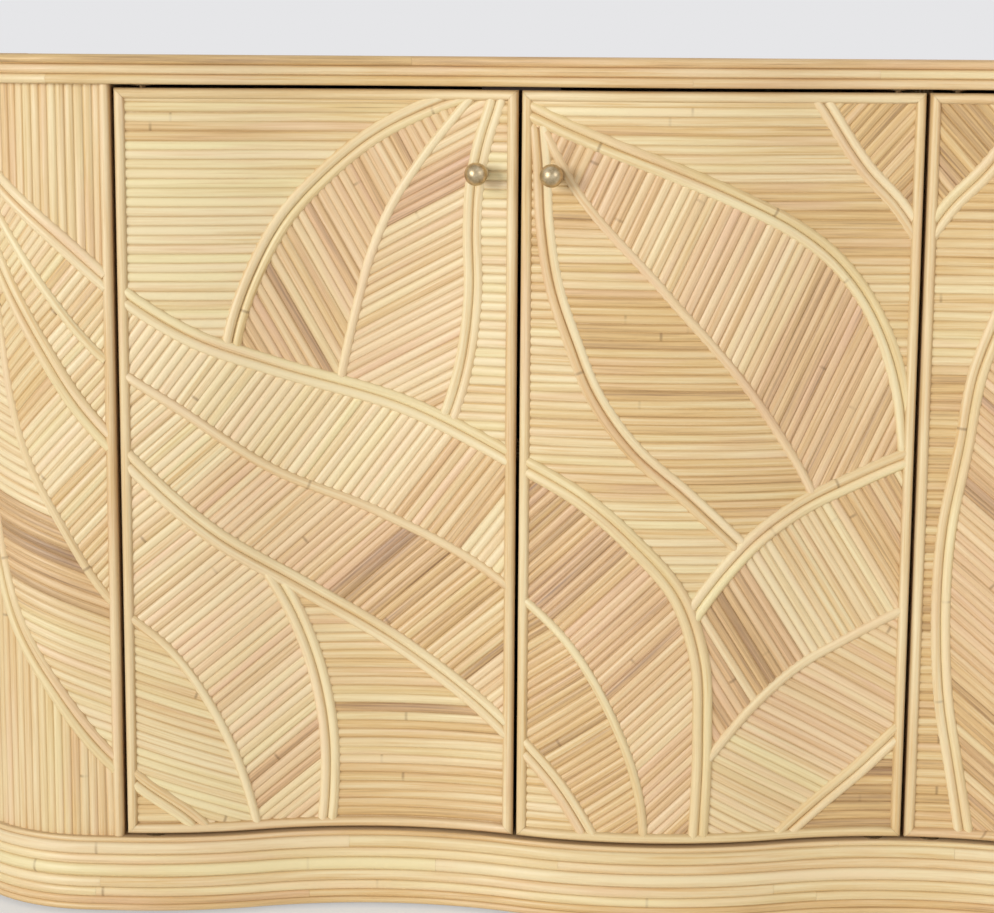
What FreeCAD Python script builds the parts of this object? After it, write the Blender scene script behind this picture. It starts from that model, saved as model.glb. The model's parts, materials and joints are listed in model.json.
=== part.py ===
import FreeCAD, Part
import os
import Sketcher

# Reed-clad sideboard with a serpentine front, rounded ends and four doors on pivots.
# Millimetres. +Z is up, the front faces -Y, and the origin lies on the floor under the middle.

doc = FreeCAD.newDocument("sideboard")

# Driving sizes
SIZES = {
    # whole cabinet
    "height": 803,
    "overall_depth": 450,
    # plan of the front: a wave of tangent arcs, three quarter waves to each door
    "door_pitch": 366,
    "wave_depth": 36,
    "end_flat": 34,
    "end_radius": 140,
    # boards
    "board": 18,
    "top_board": 21,
    "core": 18,
    "back_board": 9,
    # reed cladding
    "reed_height": 5,
    "reed_root": 0.8,
    "bead_width": 10,
    "band_overhang": 6,
    "plinth_rows": 8,
    "top_rows": 3,
    # plinth
    "glide_height": 4,
    "glide_diameter": 22,
    "glide_setback": 60,
    "plinth_height": 54,
    "plinth_wall": 15,
    "cross_rail": 30,
    # gaps round the doors
    "door_gap": 3.5,
    "door_gap_bottom": 2.4,
    "door_gap_top": 3.4,
    # pivots
    "pivot_inset": 25,
    "pivot_setback": 7,
    "pin_diameter": 8,
    "pin_in_door": 30,
    "pin_in_bush": 10,
    "bush_diameter": 12,
    "bush_length": 12,
    "flange_diameter": 18,
    "flange_height": 1.2,
    "collar_diameter": 14,
    "running_gap": 0.3,
    "fit_clearance": 0.05,
    # knobs
    "knob_from_seam": 34,
    "knob_drop": 74.5,
    "knob_ball": 21,
    "knob_reach": 19,
    "knob_foot": 14,
    "knob_foot_height": 2.5,
    "knob_neck": 8,
    "knob_bore_depth": 14,
    "knob_screw": 4,
    "knob_screw_grip": 12,
    "knob_screw_head": 8,
    "knob_screw_head_height": 2.5,
    "screw_hole_clearance": 0.25,
    "seat_gap": 0.1,
    # catches
    "strike_thickness": 1.5,
    "strike_width": 24,
    "strike_height": 14,
    "strike_inset": 8,
    "catch_gap": 0.4,
    "catch_width": 72,
    "catch_height": 24,
    "catch_depth": 14,
    # shelves and their supports
    "swing_room": 32,
    "shelf_setback": 8,
    "shelf_play": 1,
    "hole_pitch": 32,
    "hole_count": 5,
    "hole_setback": 50,
    "support_pin": 5,
    "support_tab_length": 9,
    "support_tab_width": 12,
    "support_tab_height": 3,
    # back panel screws
    "back_screw": 3.5,
    "back_screw_head": 7,
    "back_screw_head_height": 2.5,
    "back_screw_length": 30,
    "back_screw_rows": 5,
    "back_screw_margin": 40,
}

sheet = doc.addObject("Spreadsheet::Sheet", "size")
for row, (alias, number) in enumerate(SIZES.items(), start=1):
    sheet.set(f"A{row}", alias)
    sheet.set(f"B{row}", str(number))
    sheet.setAlias(f"B{row}", alias)
doc.recompute()

# Plan of the front, as expressions of the sizes
QUARTER = "(size.door_pitch / 3)"
RADIUS = f"(({QUARTER} ^ 2 + (size.wave_depth / 2) ^ 2) / size.wave_depth)"
BACK = "(size.overall_depth / 2)"
CREST = f"(size.band_overhang + size.reed_height - {BACK})"
MIDLINE = f"({CREST} + size.wave_depth / 2)"
TROUGH = f"({CREST} + size.wave_depth)"
STILE = "(2 * size.door_pitch + size.end_flat)"
HALF_WIDTH = f"({STILE} + size.end_radius)"
BACK_FACE = f"({BACK} - size.back_board)"
RUN_OUT = f"({BACK} + size.overall_depth)"
FAR_X = f"({HALF_WIDTH} + size.end_radius)"
FAR_Y = "(size.overall_depth + size.end_radius)"

# Levels
PLINTH_TOP = "(size.glide_height + size.plinth_height)"
BASE_TOP = f"({PLINTH_TOP} + size.board)"
TOP_UNDERSIDE = "(size.height - size.reed_height - size.top_board)"
DOOR_LOW = f"({BASE_TOP} + size.door_gap_bottom)"
DOOR_HIGH = f"({TOP_UNDERSIDE} - size.door_gap_top)"
MID_LEVEL = f"(({BASE_TOP} + {TOP_UNDERSIDE}) / 2)"
KNOB_LEVEL = f"({DOOR_HIGH} - size.knob_drop)"

# Carcass places
UPRIGHT_INNER = "(2 * size.door_pitch + size.door_gap / 2)"
UPRIGHT_OUTER = f"({UPRIGHT_INNER} + size.board)"
UPRIGHT_MIDDLE = f"({UPRIGHT_INNER} + size.board / 2)"
PARTITION_FRONT = f"({TROUGH} + size.pivot_setback + size.swing_room)"

# Offsets from the face that carries the reeds
REED_FACE = "size.reed_height"
BAND_ROOT = "size.band_overhang"
PLINTH_INNER = "(size.band_overhang - size.plinth_wall)"
DOOR_BACK = "(-size.core)"
STRIKE_BACK = "(-size.core - size.strike_thickness)"
CATCH_FACE = f"({STRIKE_BACK} - size.catch_gap)"
CATCH_BACK = f"({CATCH_FACE} - size.catch_depth)"

sub_parts = []


def value(expression):
    """Number that an expression of the sizes comes to."""
    return float(sheet.evalExpression(expression))


def bind(target, **expressions):
    """Tie properties of an object to expressions of the sizes; x, y and z tie its place."""
    for name, expression in expressions.items():
        path = f"Placement.Base.{name}" if name in ("x", "y", "z") else name
        target.setExpression(path, str(expression))
    return target


def keep(target, label):
    """Give a finished sub-part the name of its node."""
    target.Label = label
    sub_parts.append(target)
    return target


def arc_between(start, end, radius, turn):
    """Lesser arc from start to end that turns left (1) or right (-1)."""
    chord = end - start
    middle = (start + end) * 0.5
    rise = max(radius ** 2 - (chord.Length / 2) ** 2, 0) ** 0.5
    aside = FreeCAD.Vector(-chord.y, chord.x, 0).normalize()
    centre = middle + aside * rise * turn
    crown = centre - aside * radius * turn
    return Part.Arc(start, crown, end)


def draw(sketch, corners):
    """Closed outline through corners (x, y, arc), each corner and radius tied to the sizes.

    The arc is None for a straight edge to the next corner, or (radius, turn) for a round one.
    """
    points = [FreeCAD.Vector(value(x), value(y), 0) for x, y, _ in corners]
    count = len(corners)
    for index, (_, _, arc) in enumerate(corners):
        start = points[index]
        end = points[(index + 1) % count]
        if arc is None:
            sketch.addGeometry(Part.LineSegment(start, end))
        else:
            sketch.addGeometry(arc_between(start, end, value(arc[0]), arc[1]))

    def ends(index):
        arc = corners[index][2]
        return (2, 1) if arc and arc[1] < 0 else (1, 2)

    for index, (x, y, arc) in enumerate(corners):
        following = (index + 1) % count
        first, last = ends(index)
        sketch.addConstraint(
            Sketcher.Constraint("Coincident", index, last, following, ends(following)[0]))
        for kind, expression in (("DistanceX", x), ("DistanceY", y)):
            number = sketch.addConstraint(
                Sketcher.Constraint(kind, index, first, value(expression)))
            sketch.setExpression(f"Constraints[{number}]", expression)
        if arc:
            number = sketch.addConstraint(Sketcher.Constraint("Radius", index, value(arc[0])))
            sketch.setExpression(f"Constraints[{number}]", arc[0])
    return sketch


def block(name, x, y, z):
    """Rectangular block between a low and a high limit in x, y and z."""
    box = doc.addObject("Part::Box", name)
    bind(box, Length=f"({x[1]}) - ({x[0]})", Width=f"({y[1]}) - ({y[0]})",
         Height=f"({z[1]}) - ({z[0]})")
    return bind(box, x=x[0], y=y[0], z=z[0])


def rod(name, diameter, x, y, z):
    """Upright round rod at x, y between two levels."""
    cylinder = doc.addObject("Part::Cylinder", name)
    bind(cylinder, Radius=f"({diameter}) / 2", Height=f"({z[1]}) - ({z[0]})")
    return bind(cylinder, x=x, y=y, z=z[0])


def cut(name, base, tool):
    """What is left of the base once the tool is taken away."""
    result = doc.addObject("Part::Cut", name)
    result.Base = base
    result.Tool = tool
    return result


def common(name, base, tool):
    """What two solids share."""
    result = doc.addObject("Part::Common", name)
    result.Base = base
    result.Tool = tool
    return result


def fuse(name, *pieces):
    """One solid from pieces that meet."""
    result = doc.addObject("Part::MultiFuse", name)
    result.Shapes = list(pieces)
    return result


def group(name, *pieces):
    """Separate solids that share a node."""
    result = doc.addObject("Part::Compound", name)
    result.Links = list(pieces)
    return result


# Plan outline of the face that carries the reeds, running past the back so that rings stay open
CREST_ARC = (RADIUS, 1)
TROUGH_ARC = (RADIUS, -1)
END_ARC = ("size.end_radius", 1)
END_TANGENT = f"({CREST} + size.end_radius)"
plan = draw(doc.addObject("Sketcher::SketchObject", "plan"), [
    (f"-{HALF_WIDTH}", RUN_OUT, None),
    (f"-{HALF_WIDTH}", END_TANGENT, END_ARC),
    (f"-{STILE}", CREST, None),
    ("-2 * size.door_pitch", CREST, CREST_ARC),
    (f"{QUARTER} - 2 * size.door_pitch", MIDLINE, TROUGH_ARC),
    ("-size.door_pitch", MIDLINE, CREST_ARC),
    (f"-{QUARTER}", MIDLINE, TROUGH_ARC),
    (QUARTER, MIDLINE, CREST_ARC),
    ("size.door_pitch", MIDLINE, TROUGH_ARC),
    (f"2 * size.door_pitch - {QUARTER}", MIDLINE, CREST_ARC),
    ("2 * size.door_pitch", CREST, None),
    (STILE, CREST, END_ARC),
    (HALF_WIDTH, END_TANGENT, None),
    (HALF_WIDTH, RUN_OUT, None),
])
doc.recompute()


def outline(name, offset):
    """Plan outline moved out from the reed-carrying face, or in where the offset is negative."""
    moved = doc.addObject("Part::Offset2D", name)
    moved.Source = plan
    moved.Join = "Intersection"
    return bind(moved, Value=offset)


def column(name, profile):
    """Solid of the cabinet's full height over a plan outline."""
    solid = doc.addObject("Part::Extrusion", name)
    solid.Base = profile
    solid.DirMode = "Custom"
    solid.Dir = FreeCAD.Vector(0, 0, 1)
    solid.Solid = True
    return bind(solid, LengthFwd="size.height")


band_outline = outline("band_outline", BAND_ROOT)
face_column = column("face_column", plan)
reed_column = column("reed_column", outline("reed_outline", REED_FACE))
band_column = column("band_column", band_outline)
plinth_column = column("plinth_column", outline("plinth_outline", PLINTH_INNER))
inner_column = column("inner_column", outline("inner_outline", DOOR_BACK))
strike_column = column("strike_column", outline("strike_outline", STRIKE_BACK))
catch_column = column("catch_column", outline("catch_outline", CATCH_FACE))
catch_back_column = column("catch_back_column", outline("catch_back_outline", CATCH_BACK))
doc.recompute()


def bent(name, outer, inner, x, y, z):
    """Bent board between two outlines, trimmed to limits in x, y and z."""
    trimmed = common(f"{name}_trimmed", outer, block(f"{name}_limits", x, y, z))
    return cut(name, trimmed, inner)


def flat_board(name, profile_column, z):
    """Level board with the cabinet's plan, straight at the back."""
    limits = block(f"{name}_limits", (f"-{FAR_X}", FAR_X), (f"-{FAR_Y}", BACK), z)
    return common(name, profile_column, limits)


def spine_edges(profile, keep_edge):
    """Names of an outline's edges that a test of their two ends keeps."""
    names = []
    for number, edge in enumerate(profile.Shape.Edges, start=1):
        ends = [vertex.Point for vertex in edge.Vertexes]
        if keep_edge(ends[0], ends[-1]):
            names.append(f"Edge{number}")
    return names


def sweep(name, section, profile, edges):
    """Solid made by a section that follows edges of an outline."""
    solid = doc.addObject("Part::Sweep", name)
    solid.Sections = [section]
    solid.Spine = (profile, edges)
    solid.Solid = True
    return solid


def reed_band(label, rows, z):
    """Band of reed rows round the front and both ends, scalloped in section."""
    row = f"((({z[1]}) - ({z[0]})) / size.{rows})"
    rise = "(size.reed_height - size.reed_root)"
    row_radius = f"(({row} ^ 2 / 4 + {rise} ^ 2) / (2 * {rise}))"
    count = round(value(f"size.{rows}"))
    corners = [("0", "0", None)]
    for index in range(count):
        corners.append(("size.reed_root", f"{index} * {row}", (row_radius, 1)))
    corners.append(("size.reed_root", f"{count} * {row}", None))
    corners.append(("0", f"{count} * {row}", None))
    section = draw(doc.addObject("Sketcher::SketchObject", f"{label}_section"), corners)
    upright = FreeCAD.Rotation(FreeCAD.Vector(1, 0, 0), 90)
    half_turn = FreeCAD.Rotation(FreeCAD.Vector(0, 0, 1), 180)
    section.Placement = FreeCAD.Placement(FreeCAD.Vector(), half_turn.multiply(upright))
    bind(section, x=f"-{HALF_WIDTH} - size.band_overhang", y=RUN_OUT, z=z[0])
    run_out = value(RUN_OUT)
    edges = spine_edges(band_outline, lambda first, last: min(first.y, last.y) < run_out)
    whole = sweep(f"{label}_whole", section, band_outline, edges)
    limits = block(f"{label}_limits", (f"-{FAR_X}", FAR_X), (f"-{FAR_Y}", BACK), z)
    return keep(common(label, whole, limits), label)


# Plinth
plinth_levels = ("size.glide_height", PLINTH_TOP)
BACK_RAIL_FACE = f"({BACK} - size.plinth_wall)"
keep(bent("plinth_front", band_column, plinth_column, (f"-{STILE}", STILE),
          (f"-{FAR_Y}", "0"), plinth_levels), "plinth_front_wall")
for side, limits in (("left", (f"-{FAR_X}", f"-{STILE}")), ("right", (STILE, FAR_X))):
    keep(bent(f"plinth_{side}", band_column, plinth_column, limits,
              (f"-{FAR_Y}", BACK), plinth_levels), f"plinth_{side}_wall")
RAIL_END = f"({HALF_WIDTH} + {PLINTH_INNER})"
keep(block("plinth_back", (f"-{RAIL_END}", RAIL_END), (BACK_RAIL_FACE, BACK), plinth_levels),
     "plinth_back_rail")

rails = []
glides = []
for name, middle in (("left", f"-{UPRIGHT_MIDDLE}"), ("centre", "0"), ("right", UPRIGHT_MIDDLE)):
    width = (f"{middle} - size.cross_rail / 2", f"{middle} + size.cross_rail / 2")
    raw = block(f"{name}_rail_raw", width, (f"-{FAR_Y}", BACK_RAIL_FACE), plinth_levels)
    rails.append(common(f"{name}_rail", plinth_column, raw))
    for end, place in (("front", f"{TROUGH} + size.glide_setback"),
                       ("rear", f"{BACK} - size.glide_setback")):
        glides.append(rod(f"{name}_{end}_glide", "size.glide_diameter", middle, place,
                          ("0", "size.glide_height")))
keep(group("cross_rails", *rails), "plinth_cross_rails")
keep(group("glides", *glides), "floor_glides")
reed_band("plinth_reed_band", "plinth_rows", ("size.glide_height", BASE_TOP))


# Doors: hinge seam and meeting seam in door pitches, and the way from hinge to meeting edge
class Door:
    """Places on one door, as expressions of the sizes."""

    def __init__(self, name, hinge_seam, meeting_seam):
        self.name = name
        self.inward = 1 if meeting_seam > hinge_seam else -1
        self.hinge = f"({hinge_seam} * size.door_pitch)"
        self.meeting = f"({meeting_seam} * size.door_pitch)"
        self.outer = hinge_seam != 0
        self.tilt = 1 if meeting_seam > 0 else -1

    def from_hinge(self, distance):
        """Place along the front, at a distance from the hinge seam."""
        return f"({self.hinge} + {self.inward} * ({distance}))"

    def from_meeting(self, distance):
        """Place along the front, at a distance from the meeting seam."""
        return f"({self.meeting} - {self.inward} * ({distance}))"

    def face_at_hinge(self, distance):
        """Depth of the reed-carrying face near the hinge seam, on a crest or in a trough."""
        return crest_face(distance) if self.outer else trough_face(distance)

    def face_at_meeting(self, distance):
        """Depth of the reed-carrying face near the meeting seam, a quarter wave from its arc's axis."""
        across = f"({QUARTER} - ({distance}))"
        return trough_face(across) if self.outer else crest_face(across)

    def limits(self, inset="0"):
        """Low and high limit along the front, inset from both door edges."""
        margin = f"size.door_gap / 2 + {inset}"
        places = (self.from_hinge(margin), self.from_meeting(margin))
        return places if self.inward > 0 else places[::-1]


def crest_face(across):
    """Depth of the face on an arc that bulges forwards, at a distance from its middle."""
    return f"({CREST} + {RADIUS} - sqrt({RADIUS} ^ 2 - ({across}) ^ 2))"


def trough_face(across):
    """Depth of the face on an arc that is hollow, at a distance from its middle."""
    return f"({TROUGH} - {RADIUS} + sqrt({RADIUS} ^ 2 - ({across}) ^ 2))"


doors = [
    Door("left_outer_door", -2, -1),
    Door("left_inner_door", 0, -1),
    Door("right_inner_door", 0, 1),
    Door("right_outer_door", 2, 1),
]
PIVOT_ACROSS = "(size.door_gap / 2 + size.pivot_inset)"
BUSH_BORE = "(size.pin_diameter + 2 * size.fit_clearance)"
BUSH_HOLE = "(size.bush_diameter + 2 * size.fit_clearance)"


def pivot_place(door):
    """Plan place of a door's pivot."""
    return door.from_hinge(PIVOT_ACROSS), f"({door.face_at_hinge(PIVOT_ACROSS)} + size.pivot_setback)"


# Bottom board, top board and the bushes let into them
low_holes = []
high_holes = []
bushes = []
for door in doors:
    x, y = pivot_place(door)
    low = (f"{BASE_TOP} - size.bush_length", BASE_TOP)
    high = (TOP_UNDERSIDE, f"{TOP_UNDERSIDE} + size.bush_length")
    low_flange = (BASE_TOP, f"{BASE_TOP} + size.flange_height")
    high_flange = (f"{TOP_UNDERSIDE} - size.flange_height", TOP_UNDERSIDE)
    for end, sleeve, flange, holes in (("lower", low, low_flange, low_holes),
                                       ("upper", high, high_flange, high_holes)):
        name = f"{door.name}_{end}_bush"
        holes.append(rod(f"{name}_hole", BUSH_HOLE, x, y, sleeve))
        blank = fuse(f"{name}_blank", rod(f"{name}_sleeve", "size.bush_diameter", x, y, sleeve),
                     rod(f"{name}_flange", "size.flange_diameter", x, y, flange))
        span = (min(sleeve[0], flange[0], key=value), max(sleeve[1], flange[1], key=value))
        bushes.append(cut(name, blank, rod(f"{name}_bore", BUSH_BORE, x, y, span)))
keep(cut("bottom", flat_board("bottom_blank", band_column, (PLINTH_TOP, BASE_TOP)),
         fuse("bottom_holes", *low_holes)), "bottom_board")
keep(cut("top", flat_board("top_blank", band_column,
                           (TOP_UNDERSIDE, f"{TOP_UNDERSIDE} + size.top_board")),
         fuse("top_holes", *high_holes)), "top_board")
keep(flat_board("top_skin", band_column, (f"{TOP_UNDERSIDE} + size.top_board", "size.height")),
     "top_reeds")
reed_band("top_reed_band", "top_rows", (TOP_UNDERSIDE, "size.height"))
keep(group("bushes", *bushes), "pivot_bushes")

# Back panel screws, in a row up each upright and the partition
back_screws = []
back_clearances = []
back_pilots = []
screw_rows = round(value("size.back_screw_rows"))
SCREW_SPAN = f"({TOP_UNDERSIDE} - {BASE_TOP} - 2 * size.back_screw_margin)"
HEAD_SEAT = f"({BACK} - size.back_screw_head_height)"


def level_rod(name, diameter, x, y, z):
    """Round rod along the depth, between two depths."""
    cylinder = doc.addObject("Part::Cylinder", name)
    cylinder.Placement.Rotation = FreeCAD.Rotation(FreeCAD.Vector(1, 0, 0), 90)
    bind(cylinder, Radius=f"({diameter}) / 2", Height=f"({y[1]}) - ({y[0]})")
    return bind(cylinder, x=x, y=y[1], z=z)


def stepped_rod(name, shank, head, x, y, z):
    """Shank and head along the depth, with the head at the back."""
    return fuse(name, level_rod(f"{name}_shank", shank, x, (y, HEAD_SEAT), z),
                level_rod(f"{name}_head", head, x, (HEAD_SEAT, BACK), z))


HOLE_GAP = "2 * size.fit_clearance"
SCREW_TIP = f"({BACK} - size.back_screw_length)"
for name, x in (("left", f"-{UPRIGHT_MIDDLE}"), ("centre", "0"), ("right", UPRIGHT_MIDDLE)):
    for row in range(screw_rows):
        z = f"({BASE_TOP} + size.back_screw_margin + {SCREW_SPAN} * {row} / {screw_rows - 1})"
        tag = f"{name}_{row}"
        back_screws.append(stepped_rod(f"back_screw_{tag}", "size.back_screw",
                                       "size.back_screw_head", x, SCREW_TIP, z))
        back_clearances.append(stepped_rod(f"back_clearance_{tag}",
                                           f"size.back_screw + {HOLE_GAP}",
                                           f"size.back_screw_head + {HOLE_GAP}",
                                           x, BACK_FACE, z))
        back_pilots.append(level_rod(f"back_pilot_{tag}", f"size.back_screw + {HOLE_GAP}", x,
                                     (SCREW_TIP, BACK_FACE), z))
keep(group("back_screws", *back_screws), "back_panel_screws")
PANEL_END = f"({HALF_WIDTH} - size.core)"
panel = block("back_blank", (f"-{PANEL_END}", PANEL_END), (BACK_FACE, BACK),
              (BASE_TOP, TOP_UNDERSIDE))
keep(cut("back", panel, fuse("back_clearances", *back_clearances)), "back_panel")

# Uprights and partition, drilled in two rows for the shelf supports
CARCASS_HEIGHT = f"({TOP_UNDERSIDE} - {BASE_TOP})"
SUPPORT_HOLE = "(size.support_pin + 2 * size.fit_clearance)"
HOLE_SPAN = "((size.hole_count - 1) * size.hole_pitch)"
SHELF_UNDERSIDE = f"({MID_LEVEL} + size.support_pin / 2)"
FRONT_HOLE = f"({PARTITION_FRONT} + size.hole_setback)"
REAR_HOLE = f"({BACK_FACE} - size.hole_setback)"


def origin_plane(body, role):
    """Plane of a body's origin, by its role."""
    return next(plane for plane in body.Origin.OriginFeatures if plane.Role == role)


def sketch_on(body, name, role):
    """Empty sketch on one of a body's own planes."""
    sketch = body.newObject("Sketcher::SketchObject", name)
    sketch.AttachmentSupport = [(origin_plane(body, role), "")]
    sketch.MapMode = "FlatFace"
    return sketch


def drilled_board(name, label, x, front):
    """Upright board with two rows of holes, padded from its side."""
    depth = f"({BACK_FACE} - {front})"
    body = doc.addObject("PartDesign::Body", name)
    side = draw(sketch_on(body, f"{name}_side", "YZ_Plane"), [
        ("0", "0", None),
        (depth, "0", None),
        (depth, CARCASS_HEIGHT, None),
        ("0", CARCASS_HEIGHT, None),
    ])
    pad = body.newObject("PartDesign::Pad", f"{name}_pad")
    pad.Profile = side
    bind(pad, Length="size.board")
    doc.recompute()
    solid_volume = pad.Shape.Volume
    holes = sketch_on(body, f"{name}_holes", "YZ_Plane")
    low_hole = f"({CARCASS_HEIGHT} - {HOLE_SPAN}) / 2"
    for number, place in enumerate((FRONT_HOLE, REAR_HOLE)):
        across = f"{place} - {front}"
        centre = FreeCAD.Vector(value(across), value(low_hole), 0)
        radius = value(SUPPORT_HOLE) / 2
        holes.addGeometry(Part.Circle(centre, FreeCAD.Vector(0, 0, 1), radius))
        for kind, expression in (("DistanceX", across), ("DistanceY", low_hole)):
            tie = holes.addConstraint(Sketcher.Constraint(kind, number, 3, value(expression)))
            holes.setExpression(f"Constraints[{tie}]", expression)
        tie = holes.addConstraint(Sketcher.Constraint("Diameter", number, 2 * radius))
        holes.setExpression(f"Constraints[{tie}]", SUPPORT_HOLE)
    pocket = body.newObject("PartDesign::Pocket", f"{name}_pocket")
    pocket.Profile = holes
    pocket.Type = "ThroughAll"
    pocket.Reversed = True
    doc.recompute()
    if pocket.Shape.Volume >= solid_volume:
        raise RuntimeError(f"the holes of {label} cut nothing")
    rows = body.newObject("PartDesign::LinearPattern", f"{name}_rows")
    rows.Originals = [pocket]
    rows.Direction = (holes, ["V_Axis"])
    bind(rows, Length=HOLE_SPAN, Occurrences="size.hole_count")
    body.Tip = rows
    bind(body, x=x, y=front, z=BASE_TOP)
    return keep(cut(f"{name}_drilled", body, fuse(f"{name}_pilots", *pilots_at(x))), label)


def pilots_at(x):
    """Back screw pilots of the board whose low side is at x."""
    middle = value(x) + value("size.board") / 2
    return [pilot for pilot in back_pilots if abs(pilot.Placement.Base.x - middle) < 1e-6]


END_PANEL_BACK = f"({CREST} + size.core)"
doc.recompute()
drilled_board("left_side", "left_upright", f"-{UPRIGHT_OUTER}", END_PANEL_BACK)
drilled_board("right_side", "right_upright", UPRIGHT_INNER, END_PANEL_BACK)
drilled_board("middle", "centre_partition", "-size.board / 2", PARTITION_FRONT)

# Shelves, each on four supports
SHELF_FRONT = f"({PARTITION_FRONT} + size.shelf_setback)"
SHELF_BACK = f"({BACK_FACE} - size.shelf_play)"
SHELF_NEAR = "(size.board / 2 + size.shelf_play)"
SHELF_FAR = f"({UPRIGHT_INNER} - size.shelf_play)"
shelf_levels = (SHELF_UNDERSIDE, f"{SHELF_UNDERSIDE} + size.board")
keep(block("shelf_left", (f"-{SHELF_FAR}", f"-{SHELF_NEAR}"), (SHELF_FRONT, SHELF_BACK),
           shelf_levels), "left_shelf")
keep(block("shelf_right", (SHELF_NEAR, SHELF_FAR), (SHELF_FRONT, SHELF_BACK), shelf_levels),
     "right_shelf")

supports = []
HALF_BOARD = "(size.board / 2)"
TAB_LEVELS = (f"{SHELF_UNDERSIDE} - size.support_tab_height", SHELF_UNDERSIDE)
PIN_LENGTH = f"({HALF_BOARD} - size.fit_clearance + size.support_tab_length)"
for side, sign in (("left", -1), ("right", 1)):
    for wall, face, way in (("upright", f"{sign} * {UPRIGHT_INNER}", -sign),
                            ("partition", f"{sign} * {HALF_BOARD}", sign)):
        for end, depth in (("front", FRONT_HOLE), ("rear", REAR_HOLE)):
            name = f"{side}_{wall}_{end}_support"
            pin = doc.addObject("Part::Cylinder", f"{name}_pin")
            pin.Placement.Rotation = FreeCAD.Rotation(FreeCAD.Vector(0, 1, 0), 90)
            bind(pin, Radius="size.support_pin / 2", Height=PIN_LENGTH)
            tip = f"({face} + {way} * size.support_tab_length)"
            root = f"({tip} - {way} * {PIN_LENGTH})"
            bind(pin, x=min(tip, root, key=value), y=depth, z=MID_LEVEL)
            tab_x = sorted((face, tip), key=value)
            tab_y = (f"{depth} - size.support_tab_width / 2", f"{depth} + size.support_tab_width / 2")
            tab = block(f"{name}_tab", tab_x, tab_y, TAB_LEVELS)
            supports.append(fuse(name, pin, tab))
keep(group("supports", *supports), "shelf_supports")

# End panels with their reeds, and a half-round bead at the edge that the outer door closes to
BEAD_MIDDLE = f"({UPRIGHT_INNER} + size.bead_width / 2)"
end_levels = (BASE_TOP, TOP_UNDERSIDE)
end_beads = []
for side, sign in (("left", -1), ("right", 1)):
    edge = sorted((f"{sign} * {UPRIGHT_INNER}", f"{sign} * {FAR_X}"), key=value)
    reed_edge = sorted((f"{sign} * ({UPRIGHT_INNER} + size.bead_width)", f"{sign} * {FAR_X}"),
                       key=value)
    depth = (f"-{FAR_Y}", BACK)
    keep(bent(f"{side}_end", face_column, inner_column, edge, depth, end_levels),
         f"{side}_end_panel")
    keep(bent(f"{side}_reeds", reed_column, face_column, reed_edge, depth, end_levels),
         f"{side}_end_reeds")
    round_bead = rod(f"{side}_bead_round", "size.bead_width", f"{sign} * {BEAD_MIDDLE}", CREST,
                     end_levels)
    end_beads.append(cut(f"{side}_bead", round_bead, face_column))
keep(group("end_beads", *end_beads), "end_edge_beads")

# Magnetic catches under the top, behind each pair's meeting edges
catches = []
for side, sign in (("left", -1), ("right", 1)):
    seam = f"{sign} * size.door_pitch"
    width = (f"{seam} - size.catch_width / 2", f"{seam} + size.catch_width / 2")
    catches.append(bent(f"{side}_catch", catch_column, catch_back_column, width,
                        (f"-{FAR_Y}", "0"),
                        (f"{TOP_UNDERSIDE} - size.catch_height", TOP_UNDERSIDE)))
keep(group("catches", *catches), "magnetic_catches")


# Half-round beads along the top and bottom edges of the doors, swept along the front
def level_bead(name, z):
    """Half-round bead along the whole front at one level."""
    half_width = "(size.bead_width / 2)"
    section = draw(doc.addObject("Sketcher::SketchObject", f"{name}_section"), [
        ("0", f"-{half_width}", (half_width, 1)),
        (half_width, "0", (half_width, 1)),
        ("0", half_width, None),
    ])
    upright = FreeCAD.Rotation(FreeCAD.Vector(1, 0, 0), 90)
    to_front = FreeCAD.Rotation(FreeCAD.Vector(0, 0, 1), -90)
    section.Placement = FreeCAD.Placement(FreeCAD.Vector(), to_front.multiply(upright))
    bind(section, x=f"-{STILE}", y=CREST, z=z)
    reach = value(STILE) + 1e-6
    edges = spine_edges(plan, lambda first, last: max(abs(first.x), abs(last.x)) < reach)
    return sweep(name, section, plan, edges)


bottom_bead = level_bead("bottom_bead", f"{DOOR_LOW} + size.bead_width / 2")
top_bead = level_bead("top_bead", f"{DOOR_HIGH} - size.bead_width / 2")


def turned(name, corners):
    """Turned piece whose axis runs along the depth; corners are (radius, depth, arc)."""
    body = doc.addObject("PartDesign::Body", name)
    profile = draw(sketch_on(body, f"{name}_profile", "XY_Plane"), corners)
    turning = body.newObject("PartDesign::Revolution", f"{name}_turning")
    turning.Profile = profile
    turning.ReferenceAxis = (profile, ["V_Axis"])
    turning.Angle = 360
    body.Tip = turning
    return body


# Depths along a knob's axis, from the face that carries the reeds
KNOB_SEAT = "(-size.reed_height - size.seat_gap)"
KNOB_FOOT = f"({KNOB_SEAT} - size.knob_foot_height)"
BALL_CENTRE = f"({KNOB_SEAT} - size.knob_reach)"
BALL_RADIUS = "(size.knob_ball / 2)"
NECK_RADIUS = "(size.knob_neck / 2)"
NECK_END = f"({BALL_CENTRE} + sqrt({BALL_RADIUS} ^ 2 - {NECK_RADIUS} ^ 2))"
BORE_RADIUS = "(size.knob_screw / 2 + size.fit_clearance)"
SCREW_SEAT = "(size.core + size.seat_gap)"
SCREW_END = f"({KNOB_SEAT} - size.knob_screw_grip)"
HOLE_RADIUS = "(size.knob_screw / 2 + size.screw_hole_clearance)"


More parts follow.
